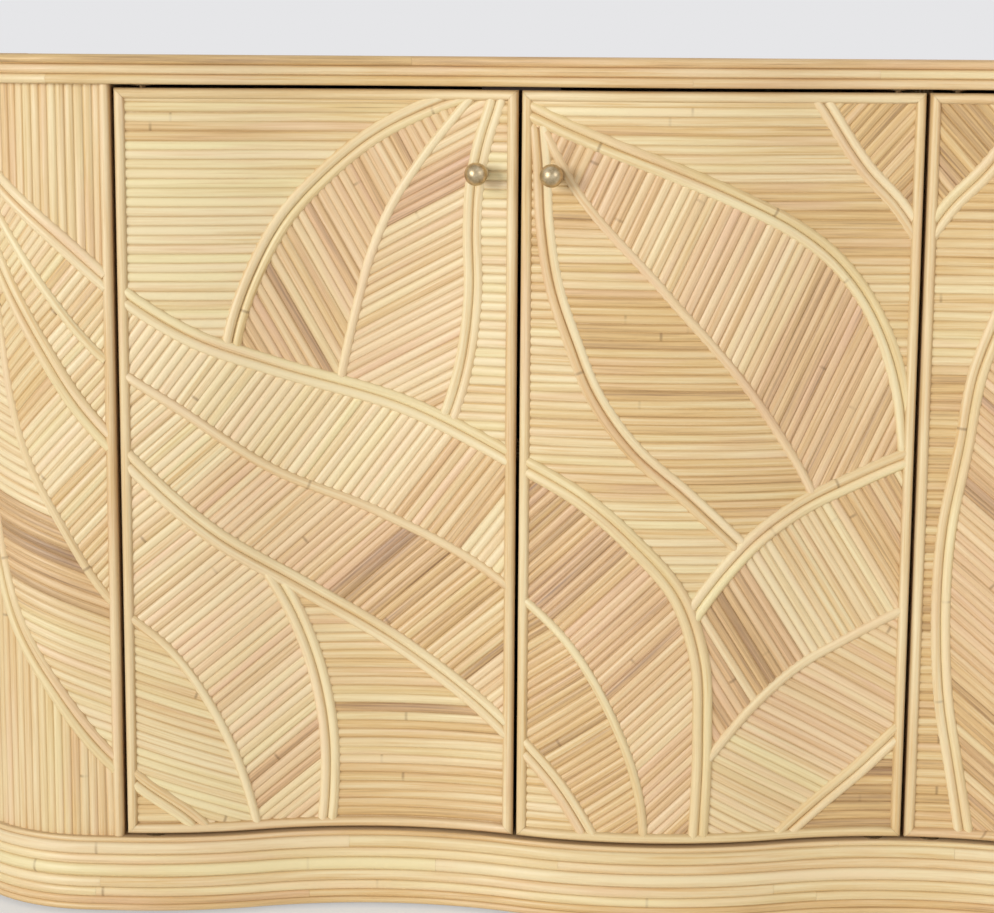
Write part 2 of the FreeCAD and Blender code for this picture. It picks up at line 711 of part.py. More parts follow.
def knob(door):
    """Ball on a short neck and foot, bored for its screw."""
    return turned(f"{door.name}_ball", [
        (BORE_RADIUS, KNOB_SEAT, None),
        (BORE_RADIUS, f"{KNOB_SEAT} - size.knob_bore_depth", None),
        ("0", f"{KNOB_SEAT} - size.knob_bore_depth", None),
        ("0", f"{BALL_CENTRE} - {BALL_RADIUS}", (BALL_RADIUS, 1)),
        (BALL_RADIUS, BALL_CENTRE, (BALL_RADIUS, 1)),
        (NECK_RADIUS, NECK_END, None),
        (NECK_RADIUS, KNOB_FOOT, None),
        ("size.knob_foot / 2", KNOB_FOOT, None),
        ("size.knob_foot / 2", KNOB_SEAT, None),
    ])


def knob_screw(door):
    """Machine screw with its head on the back of the door."""
    head_end = f"{SCREW_SEAT} + size.knob_screw_head_height"
    return turned(f"{door.name}_screw", [
        ("0", SCREW_END, None),
        ("size.knob_screw / 2", SCREW_END, None),
        ("size.knob_screw / 2", SCREW_SEAT, None),
        ("size.knob_screw_head / 2", SCREW_SEAT, None),
        ("size.knob_screw_head / 2", head_end, None),
        ("0", head_end, None),
    ])


def knob_hole(door, name):
    """Hole for the knob's screw, through core and reeds."""
    front = "(-2 * size.reed_height)"
    back = "(2 * size.core)"
    return turned(f"{door.name}_{name}", [
        ("0", front, None),
        (HOLE_RADIUS, front, None),
        (HOLE_RADIUS, back, None),
        ("0", back, None),
    ])


def at_knob(door, body):
    """Set a turned piece on the axis of a door's knob, square to the curved face."""
    across = f"({QUARTER} - size.knob_from_seam)"
    body.Placement.Rotation = FreeCAD.Rotation(FreeCAD.Vector(0, 0, 1), 1)
    bind(body, x=door.from_meeting("size.knob_from_seam"),
         y=door.face_at_meeting("size.knob_from_seam"), z=KNOB_LEVEL)
    body.setExpression("Placement.Rotation.Angle", f"{door.tilt} * asin({across} / {RADIUS})")
    return body


def pivot_pins(door):
    """Upper and lower pin; the lower one has a collar that carries the door."""
    x, y = pivot_place(door)
    low = rod(f"{door.name}_low_pin", "size.pin_diameter", x, y,
              (f"{BASE_TOP} - size.pin_in_bush", f"{DOOR_LOW} + size.pin_in_door"))
    collar = rod(f"{door.name}_collar", "size.collar_diameter", x, y,
                 (f"{BASE_TOP} + size.flange_height + size.running_gap", DOOR_LOW))
    high = rod(f"{door.name}_high_pin", "size.pin_diameter", x, y,
               (f"{DOOR_HIGH} - size.pin_in_door", f"{TOP_UNDERSIDE} + size.pin_in_bush"))
    return group(f"{door.name}_pins", fuse(f"{door.name}_low_pivot", low, collar), high)


def pin_holes(door):
    """Holes for the pivot pins in the door's lower and upper edge."""
    x, y = pivot_place(door)
    diameter = f"(size.pin_diameter + {HOLE_GAP})"
    low = rod(f"{door.name}_low_hole", diameter, x, y,
              (DOOR_LOW, f"{DOOR_LOW} + size.pin_in_door + size.fit_clearance"))
    high = rod(f"{door.name}_high_hole", diameter, x, y,
               (f"{DOOR_HIGH} - size.pin_in_door - size.fit_clearance", DOOR_HIGH))
    return low, high


def edge_beads(door):
    """Frame of half-round beads: uprights of full height, level ones between them."""
    half_width = "(size.bead_width / 2)"
    inset = f"(size.door_gap / 2 + {half_width})"
    places = (
        ("hinge", door.from_hinge(inset), door.face_at_hinge(inset)),
        ("meeting", door.from_meeting(inset), door.face_at_meeting(inset)),
    )
    beads = []
    for edge, x, y in places:
        bead = rod(f"{door.name}_{edge}_round", "size.bead_width", x, y, (DOOR_LOW, DOOR_HIGH))
        beads.append(cut(f"{door.name}_{edge}_bead", bead, face_column))
    for edge, whole in (("lower", bottom_bead), ("upper", top_bead)):
        limits = block(f"{door.name}_{edge}_limits", door.limits("size.bead_width"),
                       (f"-{FAR_Y}", "0"), (DOOR_LOW, DOOR_HIGH))
        beads.append(common(f"{door.name}_{edge}_bead", whole, limits))
    return group(f"{door.name}_beads", *beads)


for door in doors:
    front = (f"-{FAR_Y}", "0")
    core = bent(f"{door.name}_blank", face_column, inner_column, door.limits(), front,
                (DOOR_LOW, DOOR_HIGH))
    holes = fuse(f"{door.name}_holes", *pin_holes(door), at_knob(door, knob_hole(door, "core_hole")))
    keep(cut(f"{door.name}_panel", core, holes), f"{door.name}_core")
    reeds = bent(f"{door.name}_sheet", reed_column, face_column, door.limits("size.bead_width"),
                 front, (f"{DOOR_LOW} + size.bead_width", f"{DOOR_HIGH} - size.bead_width"))
    keep(cut(f"{door.name}_cladding", reeds, at_knob(door, knob_hole(door, "reed_hole"))),
         f"{door.name}_reeds")
    keep(edge_beads(door), f"{door.name}_edge_beads")
    keep(at_knob(door, knob(door)), f"{door.name}_knob")
    keep(at_knob(door, knob_screw(door)), f"{door.name}_knob_screw")
    keep(pivot_pins(door), f"{door.name}_pivot_pins")
    strike_span = sorted(
        (door.from_meeting("size.door_gap / 2 + size.strike_inset"),
         door.from_meeting("size.door_gap / 2 + size.strike_inset + size.strike_width")), key=value)
    strike_high = f"({DOOR_HIGH} - size.strike_inset)"
    keep(bent(f"{door.name}_strike", inner_column, strike_column, strike_span, front,
              (f"{strike_high} - size.strike_height", strike_high)), f"{door.name}_strike_plate")

doc.recompute()

failed = [thing.Name for thing in doc.Objects if {"Invalid", "Error"} & set(thing.State)]
if failed:
    raise RuntimeError(f"failed objects: {failed}")
for piece in sub_parts:
    if piece.Shape.isNull() or not piece.Shape.isValid() or not piece.Shape.Solids:
        raise RuntimeError(f"bad shape: {piece.Label}")

os.makedirs("parts", exist_ok=True)
for piece in sub_parts:
    piece.Shape.exportStep(f"parts/{piece.Label}.step")
    print(f"{piece.Label}: {len(piece.Shape.Solids)} solids, {piece.Shape.Volume / 1000:.1f} cm3")
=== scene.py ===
"""Looks of a reed-clad sideboard with a serpentine front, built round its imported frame.

Every reed is laid as a line on the developed faces of the cabinet and grown to a half-round split
cane by one Geometry Nodes tree. Lengths in the classes are millimetres, meshes are in metres.
"""
from __future__ import annotations

import json
import logging
import math
from dataclasses import dataclass, field, replace
from enum import Enum
from functools import partial
from typing import Any, Iterator, Mapping, Sequence

import bmesh
import bpy
import numpy as np
from mathutils import Matrix, Vector

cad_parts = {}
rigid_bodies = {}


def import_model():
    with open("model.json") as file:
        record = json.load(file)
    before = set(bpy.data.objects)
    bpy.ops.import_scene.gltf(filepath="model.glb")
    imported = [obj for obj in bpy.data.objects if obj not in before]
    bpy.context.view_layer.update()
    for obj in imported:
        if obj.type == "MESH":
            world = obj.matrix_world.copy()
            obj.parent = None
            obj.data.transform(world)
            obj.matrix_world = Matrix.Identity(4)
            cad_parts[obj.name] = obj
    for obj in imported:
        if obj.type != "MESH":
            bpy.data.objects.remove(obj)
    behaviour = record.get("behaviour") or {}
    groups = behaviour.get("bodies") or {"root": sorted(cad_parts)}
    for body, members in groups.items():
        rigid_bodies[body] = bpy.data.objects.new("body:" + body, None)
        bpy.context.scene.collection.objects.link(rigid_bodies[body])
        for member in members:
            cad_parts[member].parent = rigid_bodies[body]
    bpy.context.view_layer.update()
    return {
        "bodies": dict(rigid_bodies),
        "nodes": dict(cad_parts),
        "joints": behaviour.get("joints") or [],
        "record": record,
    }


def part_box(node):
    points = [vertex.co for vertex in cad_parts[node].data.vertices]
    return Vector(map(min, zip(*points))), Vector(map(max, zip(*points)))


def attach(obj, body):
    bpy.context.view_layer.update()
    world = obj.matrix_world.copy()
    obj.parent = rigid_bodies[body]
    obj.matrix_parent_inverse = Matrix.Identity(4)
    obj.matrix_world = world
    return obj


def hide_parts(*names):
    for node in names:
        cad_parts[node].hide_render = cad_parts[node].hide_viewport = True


LOG = logging.getLogger("sideboard")
MM = 0.001
CREASE = math.radians(55)

# Inputs of a node that mixes colours, whose names are not theirs alone
MIX_SHARE, MIX_FIRST, MIX_SECOND = 0, 6, 7

Array = np.ndarray
Line = Sequence[tuple[float, float]]
Material = bpy.types.Material
Node = bpy.types.Node
Piece = bpy.types.Object
Span = tuple[float, float]
Tree = bpy.types.NodeTree
Values = Mapping[str, bpy.types.NodeSocket]


# Node trees and colours
def linear(hex_colour: str) -> tuple[float, float, float, float]:
    """Linear colour of an sRGB hex value.

    Args:
        hex_colour: Colour such as "#E7D09D".

    Returns:
        Red, green, blue and alpha for a shader socket.
    """
    shares = [int(hex_colour[place:place + 2], 16) / 255 for place in (1, 3, 5)]
    light = [s / 12.92 if s <= 0.04045 else ((s + 0.055) / 1.055) ** 2.4 for s in shares]
    return (light[0], light[1], light[2], 1.0)


def add_node(tree: Tree, kind: str, inputs: Mapping[Any, Any] | Sequence[Any] = (),
             **settings: Any) -> Node:
    """Add a node with its settings and links.

    Args:
        tree: Tree that takes the node.
        kind: Type name of the node.
        inputs: Constants, sockets or nodes by the name or number of the input that they feed, or
            in the order of the inputs. A node stands for its first output in use.
        **settings: Properties of the node.

    Returns:
        The new node.
    """
    node = tree.nodes.new(kind)
    for name, setting in settings.items():
        setattr(node, name, setting)
    for name, source in inputs.items() if isinstance(inputs, dict) else enumerate(inputs):
        if isinstance(source, Node):
            source = next(socket for socket in source.outputs if socket.enabled)
        if isinstance(source, bpy.types.NodeSocket):
            tree.links.new(source, node.inputs[name])
        else:
            node.inputs[name].default_value = source
    return node


def empty_material(name: str) -> tuple[Material, Tree]:
    """Make a material with an empty node tree.

    Args:
        name: Name of the material.

    Returns:
        The material and its tree.
    """
    material = bpy.data.materials.new(name)
    material.use_nodes = True
    material.node_tree.nodes.clear()
    return material, material.node_tree


# Finishes
class Axis(Enum):
    """A direction of the cabinet, by the number of its coordinate."""

    WIDTH = 0
    DEPTH = 1
    HEIGHT = 2


@dataclass(frozen=True)
class Relief:
    """Fine relief of a surface: strength and depth of its bumps, and how rough it is."""

    strength: float
    depth: float
    smooth: float
    rough: float

    def close(self, tree: Tree, colour: Node, bumps: Node, drift: Node,
              constants: Mapping[str, float] | None = None) -> None:
        """Lead a colour, the relief and the gloss to a material's output.

        Args:
            tree: Tree of the material.
            colour: Gives the colour.
            bumps: Gives the height of the bumps.
            drift: Gives the place between smooth and rough.
            constants: Other settings of the shader.
        """
        bump = add_node(tree, "ShaderNodeBump", {
            "Strength": self.strength, "Distance": self.depth * MM, "Height": bumps})
        roughness = add_node(tree, "ShaderNodeMapRange", (drift, 0.0, 1.0, self.smooth, self.rough))
        shader = add_node(tree, "ShaderNodeBsdfPrincipled", {
            "Base Color": colour, "Roughness": roughness, "Normal": bump, **(constants or {})})
        add_node(tree, "ShaderNodeOutputMaterial", {"Surface": shader})


@dataclass(frozen=True)
class Cloud:
    """Noise drawn out along a cane: its stretch, and what a range of its values gives."""

    stretch: tuple[float, float, float]
    detail: float
    values: Span
    gives: Span
    roughness: float = 0.5

    def add(self, tree: Tree, place: Node) -> tuple[Node, Node]:
        """Add the noise to a material.

        Args:
            tree: Tree of the material.
            place: Gives the place on the cane.

        Returns:
            The noise, and what it gives.
        """
        drawn = add_node(tree, "ShaderNodeVectorMath", (place, self.stretch), operation="MULTIPLY")
        noise = add_node(tree, "ShaderNodeTexNoise", {
            "Vector": drawn, "Scale": 1.0, "Detail": self.detail, "Roughness": self.roughness})
        return noise, add_node(tree, "ShaderNodeMapRange", (noise, *self.values, *self.gives))


@dataclass(frozen=True)
class SplitReed:
    """Split rattan cane under satin lacquer.

    Each cane keeps one tone along its length, with long flecks, thin fibres, now and then a darker
    ring where a leaf grew, and painted shade, a warm brown, down in the grooves between canes.
    """

    straw: str = "#F3E1B5"
    honey: str = "#E0BC81"
    umber: str = "#9A7450"
    rose: str = "#DCB494"
    green: str = "#E2D69C"
    # Warm brown of the painted shade down in the grooves between canes
    groove_shade_colour: str = "#A37D4B"
    ring: str = "#7E5C38"
    fibre: float = 1.3
    fleck: float = 75.0
    seed_spread: float = 97.0
    grain: Cloud = Cloud((1.0, 1.0, 1.0), 3.0, (0.3, 0.7), (-0.16, 0.16), 0.6)
    mottle: Cloud = Cloud((0.3, 0.12, 1.0), 1.0, (0.3, 0.7), (-0.17, 0.17))
    streaks: Cloud = Cloud((0.6, 0.55, 1.7), 2.0, (0.58, 0.74), (0.0, 0.24))
    flush: Cloud = Cloud((0.55, 0.1, 2.3), 1.0, (0.52, 0.72), (0.0, 0.3))
    green_draw: float = 7.13
    green_from: float = 0.45
    green_most: float = 0.38
    green_tones: Span = (0.15, 0.5)
    green_left: float = 0.15
    ring_pitch: float = 260.0
    ring_width: float = 4.5
    ring_draw: float = 13.0
    ringed_from: float = 0.78
    ring_clouds: Span = (0.42, 0.58)
    ring_strengths: Span = (0.1, 0.55)
    # How strong the painted groove shade is, and how far from a cane's middle it begins
    groove_shade_strength: float = 0.37
    groove_shade_from: float = 0.2
    relief: Relief = Relief(strength=0.15, depth=0.2, smooth=0.4, rough=0.58)

    def material(self) -> Material:
        """Make the material, which reads the tone, blush and place along each cane.

        Returns:
            The material.
        """
        material, tree = empty_material("split_rattan_reed_satin_lacquer")
        node = partial(add_node, tree)
        value = {name: node("ShaderNodeAttribute", attribute_name=name).outputs["Fac"]
                 for name in ("tone", "blush", "along", "across", "seed")}
        scales = {"along": 1 / (self.fleck * MM), "across": Section.FILL.value.width / self.fibre,
                  "seed": self.seed_spread}
        place = node("ShaderNodeCombineXYZ", [
            node("ShaderNodeMath", (value[name], scale), operation="MULTIPLY")
            for name, scale in scales.items()])
        grain, grain_tone = self.grain.add(tree, place)
        mottle, mottle_tone = self.mottle.add(tree, place)
        cloudy = node("ShaderNodeMath", (grain_tone, mottle_tone), operation="ADD")
        streak_tone = self.streaks.add(tree, place)[1]
        varied = node("ShaderNodeMath", (cloudy, streak_tone), operation="ADD")
        tone = node("ShaderNodeMath", (value["tone"], varied), operation="ADD", use_clamp=True)
        colour = node("ShaderNodeValToRGB", (tone,))
        stops = colour.color_ramp.elements
        stops[0].color = linear(self.straw)
        stops[1].color = linear(self.umber)
        stops.new(0.5).color = linear(self.honey)
        flushed = self.flush.add(tree, place)[1]
        rosy = node("ShaderNodeMath", (value["blush"], flushed), operation="ADD", use_clamp=True)
        # The last mix is painted shade, warm brown, along both edges of each cane
        for share, hue, way in ((self._greenness(tree, value), self.green, "COLOR"),
                                (rosy, self.rose, "COLOR"),
                                (self._rings(tree, value, mottle), self.ring, "MIX"),
                                (self._painted_groove_shade(tree, value), self.groove_shade_colour, "MIX")):
            colour = node("ShaderNodeMix", {
                MIX_SHARE: share, MIX_FIRST: colour, MIX_SECOND: linear(hue)},
                data_type="RGBA", blend_type=way)
        lacquer = {"IOR": 1.5, "Coat Weight": 0.12, "Coat Roughness": 0.3}
        self.relief.close(tree, colour, grain, grain, lacquer)
        return material

    def _greenness(self, tree: Tree, value: Values) -> Node:
        """How green a cane is, which its drawn number decides, and less so the darker it is.

        Args:
            tree: Tree of the material.
            value: What each cane carries, by name.

        Returns:
            Node that gives the share of green.
        """
        node = partial(add_node, tree)
        drawn = node("ShaderNodeMath", (value["seed"], self.green_draw), operation="MULTIPLY")
        part = node("ShaderNodeMath", (drawn,), operation="FRACT")
        share = node("ShaderNodeMapRange", (part, self.green_from, 1.0, 0.0, self.green_most))
        pale = node("ShaderNodeMapRange", (value["tone"], *self.green_tones, 1.0, self.green_left))
        return node("ShaderNodeMath", (share, pale), operation="MULTIPLY")

    def _rings(self, tree: Tree, value: Values, cloud: Node) -> Node:
        """Strength of the leaf rings, stronger here and there, which only some canes have.

        Args:
            tree: Tree of the material.
            value: What each cane carries, by name.
            cloud: Noise that makes the rings uneven.

        Returns:
            Node that gives the strength.
        """
        node = partial(add_node, tree)
        lengths = node("ShaderNodeMath", (value["along"], 1 / (self.ring_pitch * MM)),
                       operation="MULTIPLY")
        shift = node("ShaderNodeMath", (value["seed"], self.ring_draw, lengths),
                     operation="MULTIPLY_ADD")
        part = node("ShaderNodeMath", (shift,), operation="FRACT")
        away = node("ShaderNodeMath", (part, 0.5), operation="SUBTRACT")
        apart = node("ShaderNodeMath", (away,), operation="ABSOLUTE")
        edge = self.ring_width / self.ring_pitch / 2
        ring = node("ShaderNodeMapRange", (apart, 0.0, edge, 1.0, 0.0),
                    interpolation_type="SMOOTHSTEP")
        chosen = node("ShaderNodeMath", (value["seed"], self.ringed_from), operation="GREATER_THAN")
        both = node("ShaderNodeMath", (ring, chosen), operation="MULTIPLY")
        worn = node("ShaderNodeMapRange", (cloud, *self.ring_clouds, *self.ring_strengths))
        return node("ShaderNodeMath", (both, worn), operation="MULTIPLY")

    def _painted_groove_shade(self, tree: Tree, value: Values) -> Node:
        """Strength of the painted shade in the grooves along both edges of a cane.

        Args:
            tree: Tree of the material.
            value: What each cane carries, by name.

        Returns:
            Node that gives the strength.
        """
        node = partial(add_node, tree)
        aside = node("ShaderNodeMath", (value["across"], 0.5), operation="SUBTRACT")
        away = node("ShaderNodeMath", (aside,), operation="ABSOLUTE")
        return node("ShaderNodeMapRange", (away, self.groove_shade_from, 0.5, 0.0, self.groove_shade_strength),
                    interpolation_type="SMOOTHSTEP")


@dataclass(frozen=True)
class Plywood:
    """Rotary-cut plywood with a thin matt lacquer: long soft grain, and plies along cut edges."""

    name: str
    pale: str
    dark: str
    grain: Axis
    thickness: Axis
    edge: Axis
    grain_width: float = 4.0
    grain_length: float = 180.0
    ply: float = 1.8
    ply_strength: float = 0.55
    square_on: float = 0.8
    contrast: Span = (0.7, 1.3)
    relief: Relief = Relief(strength=0.12, depth=0.15, smooth=0.5, rough=0.68)

    def material(self) -> Material:
        """Make the material, with its grain along one axis and its plies across another.

        Returns:
            The material.
        """
        material, tree = empty_material(self.name)
        node = partial(add_node, tree)
        board = node("ShaderNodeTexCoord").outputs
        scale = [1 / (self.grain_width * MM)] * 3
        scale[self.grain.value] = 1 / (self.grain_length * MM)
        drawn = node("ShaderNodeMapping", {"Vector": board["Object"], "Scale": scale})
        grain = node("ShaderNodeTexNoise", {
            "Vector": drawn, "Scale": 1.0, "Detail": 4.0, "Roughness": 0.55, "Distortion": 0.6})
        broad = node("ShaderNodeTexNoise", {"Vector": drawn, "Scale": 0.12, "Detail": 2.0})
        mixed = node("ShaderNodeMath", (grain, broad), operation="ADD")
        share = node("ShaderNodeMapRange", (mixed, *self.contrast))
        face = node("ShaderNodeMix", {
            MIX_SHARE: share, MIX_FIRST: linear(self.pale), MIX_SECOND: linear(self.dark)},
            data_type="RGBA")
        through = node("ShaderNodeSeparateXYZ", (board["Object"],)).outputs[self.thickness.value]
        plies = node("ShaderNodeMath", (through, 1 / (self.ply * MM)), operation="MULTIPLY")
        half = node("ShaderNodeMath", (plies, 2.0), operation="FLOORED_MODULO")
        darker = node("ShaderNodeMath", (half, 1.0), operation="GREATER_THAN")
        outward = node("ShaderNodeSeparateXYZ", (board["Normal"],)).outputs[self.edge.value]
        facing = node("ShaderNodeMath", (outward,), operation="ABSOLUTE")
        on_edge = node("ShaderNodeMath", (facing, self.square_on), operation="GREATER_THAN")
        stripe = node("ShaderNodeMath", (darker, on_edge), operation="MULTIPLY")
        strength = node("ShaderNodeMath", (stripe, self.ply_strength), operation="MULTIPLY")
        plied = node("ShaderNodeMix", {
            MIX_SHARE: strength, MIX_FIRST: face, MIX_SECOND: linear(self.dark)},
            data_type="RGBA", blend_type="MULTIPLY")
        self.relief.close(tree, plied, grain, grain)
        return material


@dataclass(frozen=True)
class Metal:
    """Metal with a cloudy surface: tarnish on brass, worn plating on steel."""

    name: str
    bright: str
    dull: str
    smooth: float
    rough: float
    cloud: float
    metallic: float = 1.0
    scratch: float = 0.5
    scratch_strength: float = 0.06
    scratch_depth: float = 0.05
    contrast: Span = (0.35, 0.68)

    def material(self) -> Material:
        """Make the material, whose colour and gloss drift in clouds.

        Returns:
            The material.
        """
        material, tree = empty_material(self.name)
        node = partial(add_node, tree)
        place = node("ShaderNodeTexCoord").outputs["Object"]
        cloud = node("ShaderNodeTexNoise", {
            "Vector": place, "Scale": 1 / (self.cloud * MM), "Detail": 4.0, "Roughness": 0.6})
        share = node("ShaderNodeMapRange", (cloud, *self.contrast))
        colour = node("ShaderNodeMix", {
            MIX_SHARE: share, MIX_FIRST: linear(self.bright), MIX_SECOND: linear(self.dull)},
            data_type="RGBA")
        scratches = node("ShaderNodeTexNoise", {
            "Vector": place, "Scale": 1 / (self.scratch * MM), "Detail": 2.0})
        relief = Relief(self.scratch_strength, self.scratch_depth, self.smooth, self.rough)
        relief.close(tree, colour, scratches, share, {"Metallic": self.metallic})
        return material


@dataclass(frozen=True)
class Moulded:
    """Injection-moulded plastic with a fine spark-eroded texture."""

    name: str
    colour: str
    worn: str
    texture: float = 0.6
    wear: float = 12.0
    relief: Relief = Relief(strength=0.2, depth=0.05, smooth=0.42, rough=0.58)

    def material(self) -> Material:
        """Make the material, with a matt grain and slightly paler wear.

        Returns:
            The material.
        """
        material, tree = empty_material(self.name)
        node = partial(add_node, tree)
        place = node("ShaderNodeTexCoord").outputs["Object"]
        grain, wear = (node("ShaderNodeTexNoise", {
            "Vector": place, "Scale": 1 / (size * MM), "Detail": detail})
            for size, detail in ((self.texture, 2.0), (self.wear, 3.0)))
        colour = node("ShaderNodeMix", {
            MIX_SHARE: wear, MIX_FIRST: linear(self.colour), MIX_SECOND: linear(self.worn)},
            data_type="RGBA")
        self.relief.close(tree, colour, grain, grain)
        return material


# Leaves as they are drawn on the cladding
class Panel(Enum):
    """The clad panels, from the left end to the right end."""

    LEFT_END = "left_end"
    LEFT_OUTER = "left_outer_door"
    LEFT_INNER = "left_inner_door"
    RIGHT_INNER = "right_inner_door"
    RIGHT_OUTER = "right_outer_door"
    RIGHT_END = "right_end"

    @property
    def opposite(self) -> Panel:
        """Panel at the same place on the other side."""
        panels = list(Panel)
        return panels[-1 - panels.index(self)]


@dataclass(frozen=True)
class Streak:
    """A batch of darker or rosier reeds round one place in a field, as far as it reaches."""

    place: tuple[float, float]
    breadth: float
    tone: float
    blush: float = 0.0
    reach: float = math.inf


@dataclass(frozen=True)
class Lay:
    """How the reeds of a field lie: the angle they run at, their spacing and their tone."""

    angle: float
    tone: float
    blush: float = 0.0
    pitch: float = 7.8
    streaks: tuple[Streak, ...] = ()

    def mirrored(self) -> Lay:
        """The same lay seen in a mirror, without its streaks."""
        return replace(self, angle=180.0 - self.angle, streaks=())


@dataclass(frozen=True)
class Leaf:
    """A leaf of two fields of reed, with a midrib between them and a pair of ribs round them.

    The lines run from the tip to the base through places along the front and up, each outline along
    the groove between its two ribs.
    """

    upper: Line
    midrib: Line
    lower: Line
    lays: Mapping[Panel, tuple[Lay, Lay]]

    def mirrored(self) -> Leaf:
        """Mirror the leaf to the other side of the cabinet.

        Returns:
            The mirrored leaf.
        """
        lines = [tuple((-along, level) for along, level in line)
                 for line in (self.upper, self.midrib, self.lower)]
        lays = {panel.opposite: (first.mirrored(), second.mirrored())
                for panel, (first, second) in self.lays.items()}
        return Leaf(lines[0], lines[1], lines[2], lays)


LONG_LEAF = Leaf(
    upper=((-912, 745), (-843, 686), (-789, 642), (-717, 581), (-664, 549), (-593, 522),
           (-463, 482), (-382, 444), (-302, 401), (-262, 367), (-215, 312), (-197, 260),
           (-192, 180), (-195, 60)),
    midrib=((-912, 745), (-843, 652), (-800, 594), (-745, 530), (-675, 482), (-589, 423),
            (-498, 385), (-381, 323), (-322, 273), (-275, 197), (-250, 125), (-243, 60)),
    lower=((-912, 745), (-845, 608), (-804, 541), (-764, 480), (-719, 431), (-643, 362),
           (-566, 313), (-462, 249), (-380, 186), (-326, 130), (-300, 90), (-284, 60)),
    lays={
        Panel.LEFT_END: (Lay(50, 0.15, 0.1), Lay(47, 0.14, 0.05)),
        Panel.LEFT_OUTER: (Lay(53, 0.06, 0.1, 8.6, (Streak((-418, 422), 80, 0.36, 0.25),)),
                           Lay(41, 0.3, 0.35, 7.8, (Streak((-690, 460), 150, 0.05, 0.05),
                                                    Streak((-413, 270), 80, 0.42, 0.05),
                                                    Streak((-471, 318), 55, 0.6, 0.25),
                                                    Streak((-520, 330), 30, 0.45, 0.5)))),
        Panel.LEFT_INNER: (Lay(44, 0.5, 0.35, 7.5, (Streak((-236, 162), 160, 0.33, 0.3),
                                                    Streak((-331, 377), 60, 0.68, 0.2),
                                                    Streak((-302, 343), 40, 0.68, 0.4))),
                           Lay(35, 0.5, 0.15, 7.6)),
    },
)
LOW_LEAF = Leaf(
    upper=((-857, 668), (-760, 560), (-640, 420), (-598, 335), (-572, 285), (-553, 230),
           (-543, 170), (-543, 110), (-548, 60)),
    midrib=((-857, 668), (-849, 558), (-820, 433), (-788, 375), (-746, 308), (-685, 253),
            (-637, 172), (-612, 92), (-606, 60)),
    lower=((-857, 668), (-872, 560), (-871, 460), (-858, 344), (-840, 285), (-794, 212),
           (-744, 150), (-717, 127), (-670, 92), (-640, 60)),
    lays={
        Panel.LEFT_END: (Lay(46, 0.26, 0.05, 7.9),
                         Lay(161, 0.13, 0.1, 8.0, (Streak((-840, 357), 70, 0.52, 0.2),))),
        Panel.LEFT_OUTER: (Lay(39, 0.12, 0.25, 8.0, (Streak((-570, 150), 45, 0.35, 0.4),)),
                           Lay(161, 0.2, 0.0, 7.7)),
    },
)
TALL_LEAF = Leaf(
    upper=((-404, 775), (-452, 757), (-494, 736), (-545, 696), (-582, 655), (-608, 607),
           (-626, 555), (-634, 500)),
    midrib=((-404, 775), (-454, 714), (-483, 670), (-503, 623), (-515, 579), (-531, 508),
            (-540, 460)),
    lower=((-384, 780), (-389, 761), (-399, 729), (-406, 696), (-409, 650), (-408, 590),
           (-411, 555), (-418, 515), (-430, 476), (-443, 445)),
    lays={
        Panel.LEFT_OUTER: (Lay(119, 0.33, 0.3, 8.3, (Streak((-560, 545), 16, 0.64, 0.6),)),
                           Lay(28, 0.17, 0.25, 7.9, (Streak((-427, 702), 32, 0.5, 0.55),))),
    },
)
SIDE_LEAF = Leaf(
    upper=((40, 458), (-12, 440), (-59, 419), (-105, 397), (-146, 368), (-174, 338),
           (-200, 303), (-230, 250), (-252, 150), (-262, 60)),
    midrib=((40, 320), (-13, 295), (-58, 271), (-103, 246), (-146, 209), (-178, 171),
            (-215, 120), (-245, 60)),
    lower=((30, 215), (-12, 176), (-40, 148), (-82, 112), (-105, 92), (-140, 60)),
    lays={
        Panel.LEFT_INNER: (Lay(122, 0.07, 0.1, 7.9, (Streak((-35, 400), 60, 0.4, 0.2),
                                                     Streak((-182, 205), 90, 0.4, 0.4),
                                                     Streak((-150, 268), 70, 0.5, 0.4),
                                                     Streak((-148, 266), 40, 0.62, 0.3))),
                           Lay(151, 0.24, 0.35, 7.8, (Streak((-150, 120), 130, 0.14, 0.15),))),
    },
)
BROAD_LEAF = Leaf(
    upper=((-368, 760), (-356, 755), (-330, 743), (-278, 722), (-215, 698), (-166, 677),
           (-111, 648), (-82, 626), (-53, 592), (-30, 549), (-15, 500), (-8, 450)),
    midrib=((-343, 736), (-319, 692), (-235, 596), (-154, 503), (-123, 458), (-103, 425),
            (-88, 395)),
    lower=((-349, 741), (-346, 710), (-343, 655), (-333, 596), (-317, 550), (-297, 502),
           (-261, 452), (-212, 409), (-165, 365), (-130, 330)),
    lays={
        Panel.LEFT_INNER: (Lay(65, 0.4, 0.32, 8.4, (Streak((-146, 620), 50, 0.13, 0.25),)),
                           Lay(0, 0.4, 0.0, 7.7, (Streak((-247, 560), 80, 0.52),))),
    },
)
MEETING_LEAF = Leaf(
    upper=((0, 640), (-8, 652), (-24, 674), (-51, 702), (-96, 766), (-106, 780)),
    midrib=((0, 640), (0, 780)),
    lower=((0, 640), (8, 652), (24, 674), (51, 702), (96, 766), (106, 780)),
    lays={
        Panel.LEFT_INNER: (Lay(48, 0.5, 0.1, 8.4), Lay(48, 0.5, 0.1, 8.4)),
        Panel.RIGHT_INNER: (Lay(132, 0.56, 0.05, 8.4), Lay(132, 0.56, 0.05, 8.4)),
    },
)
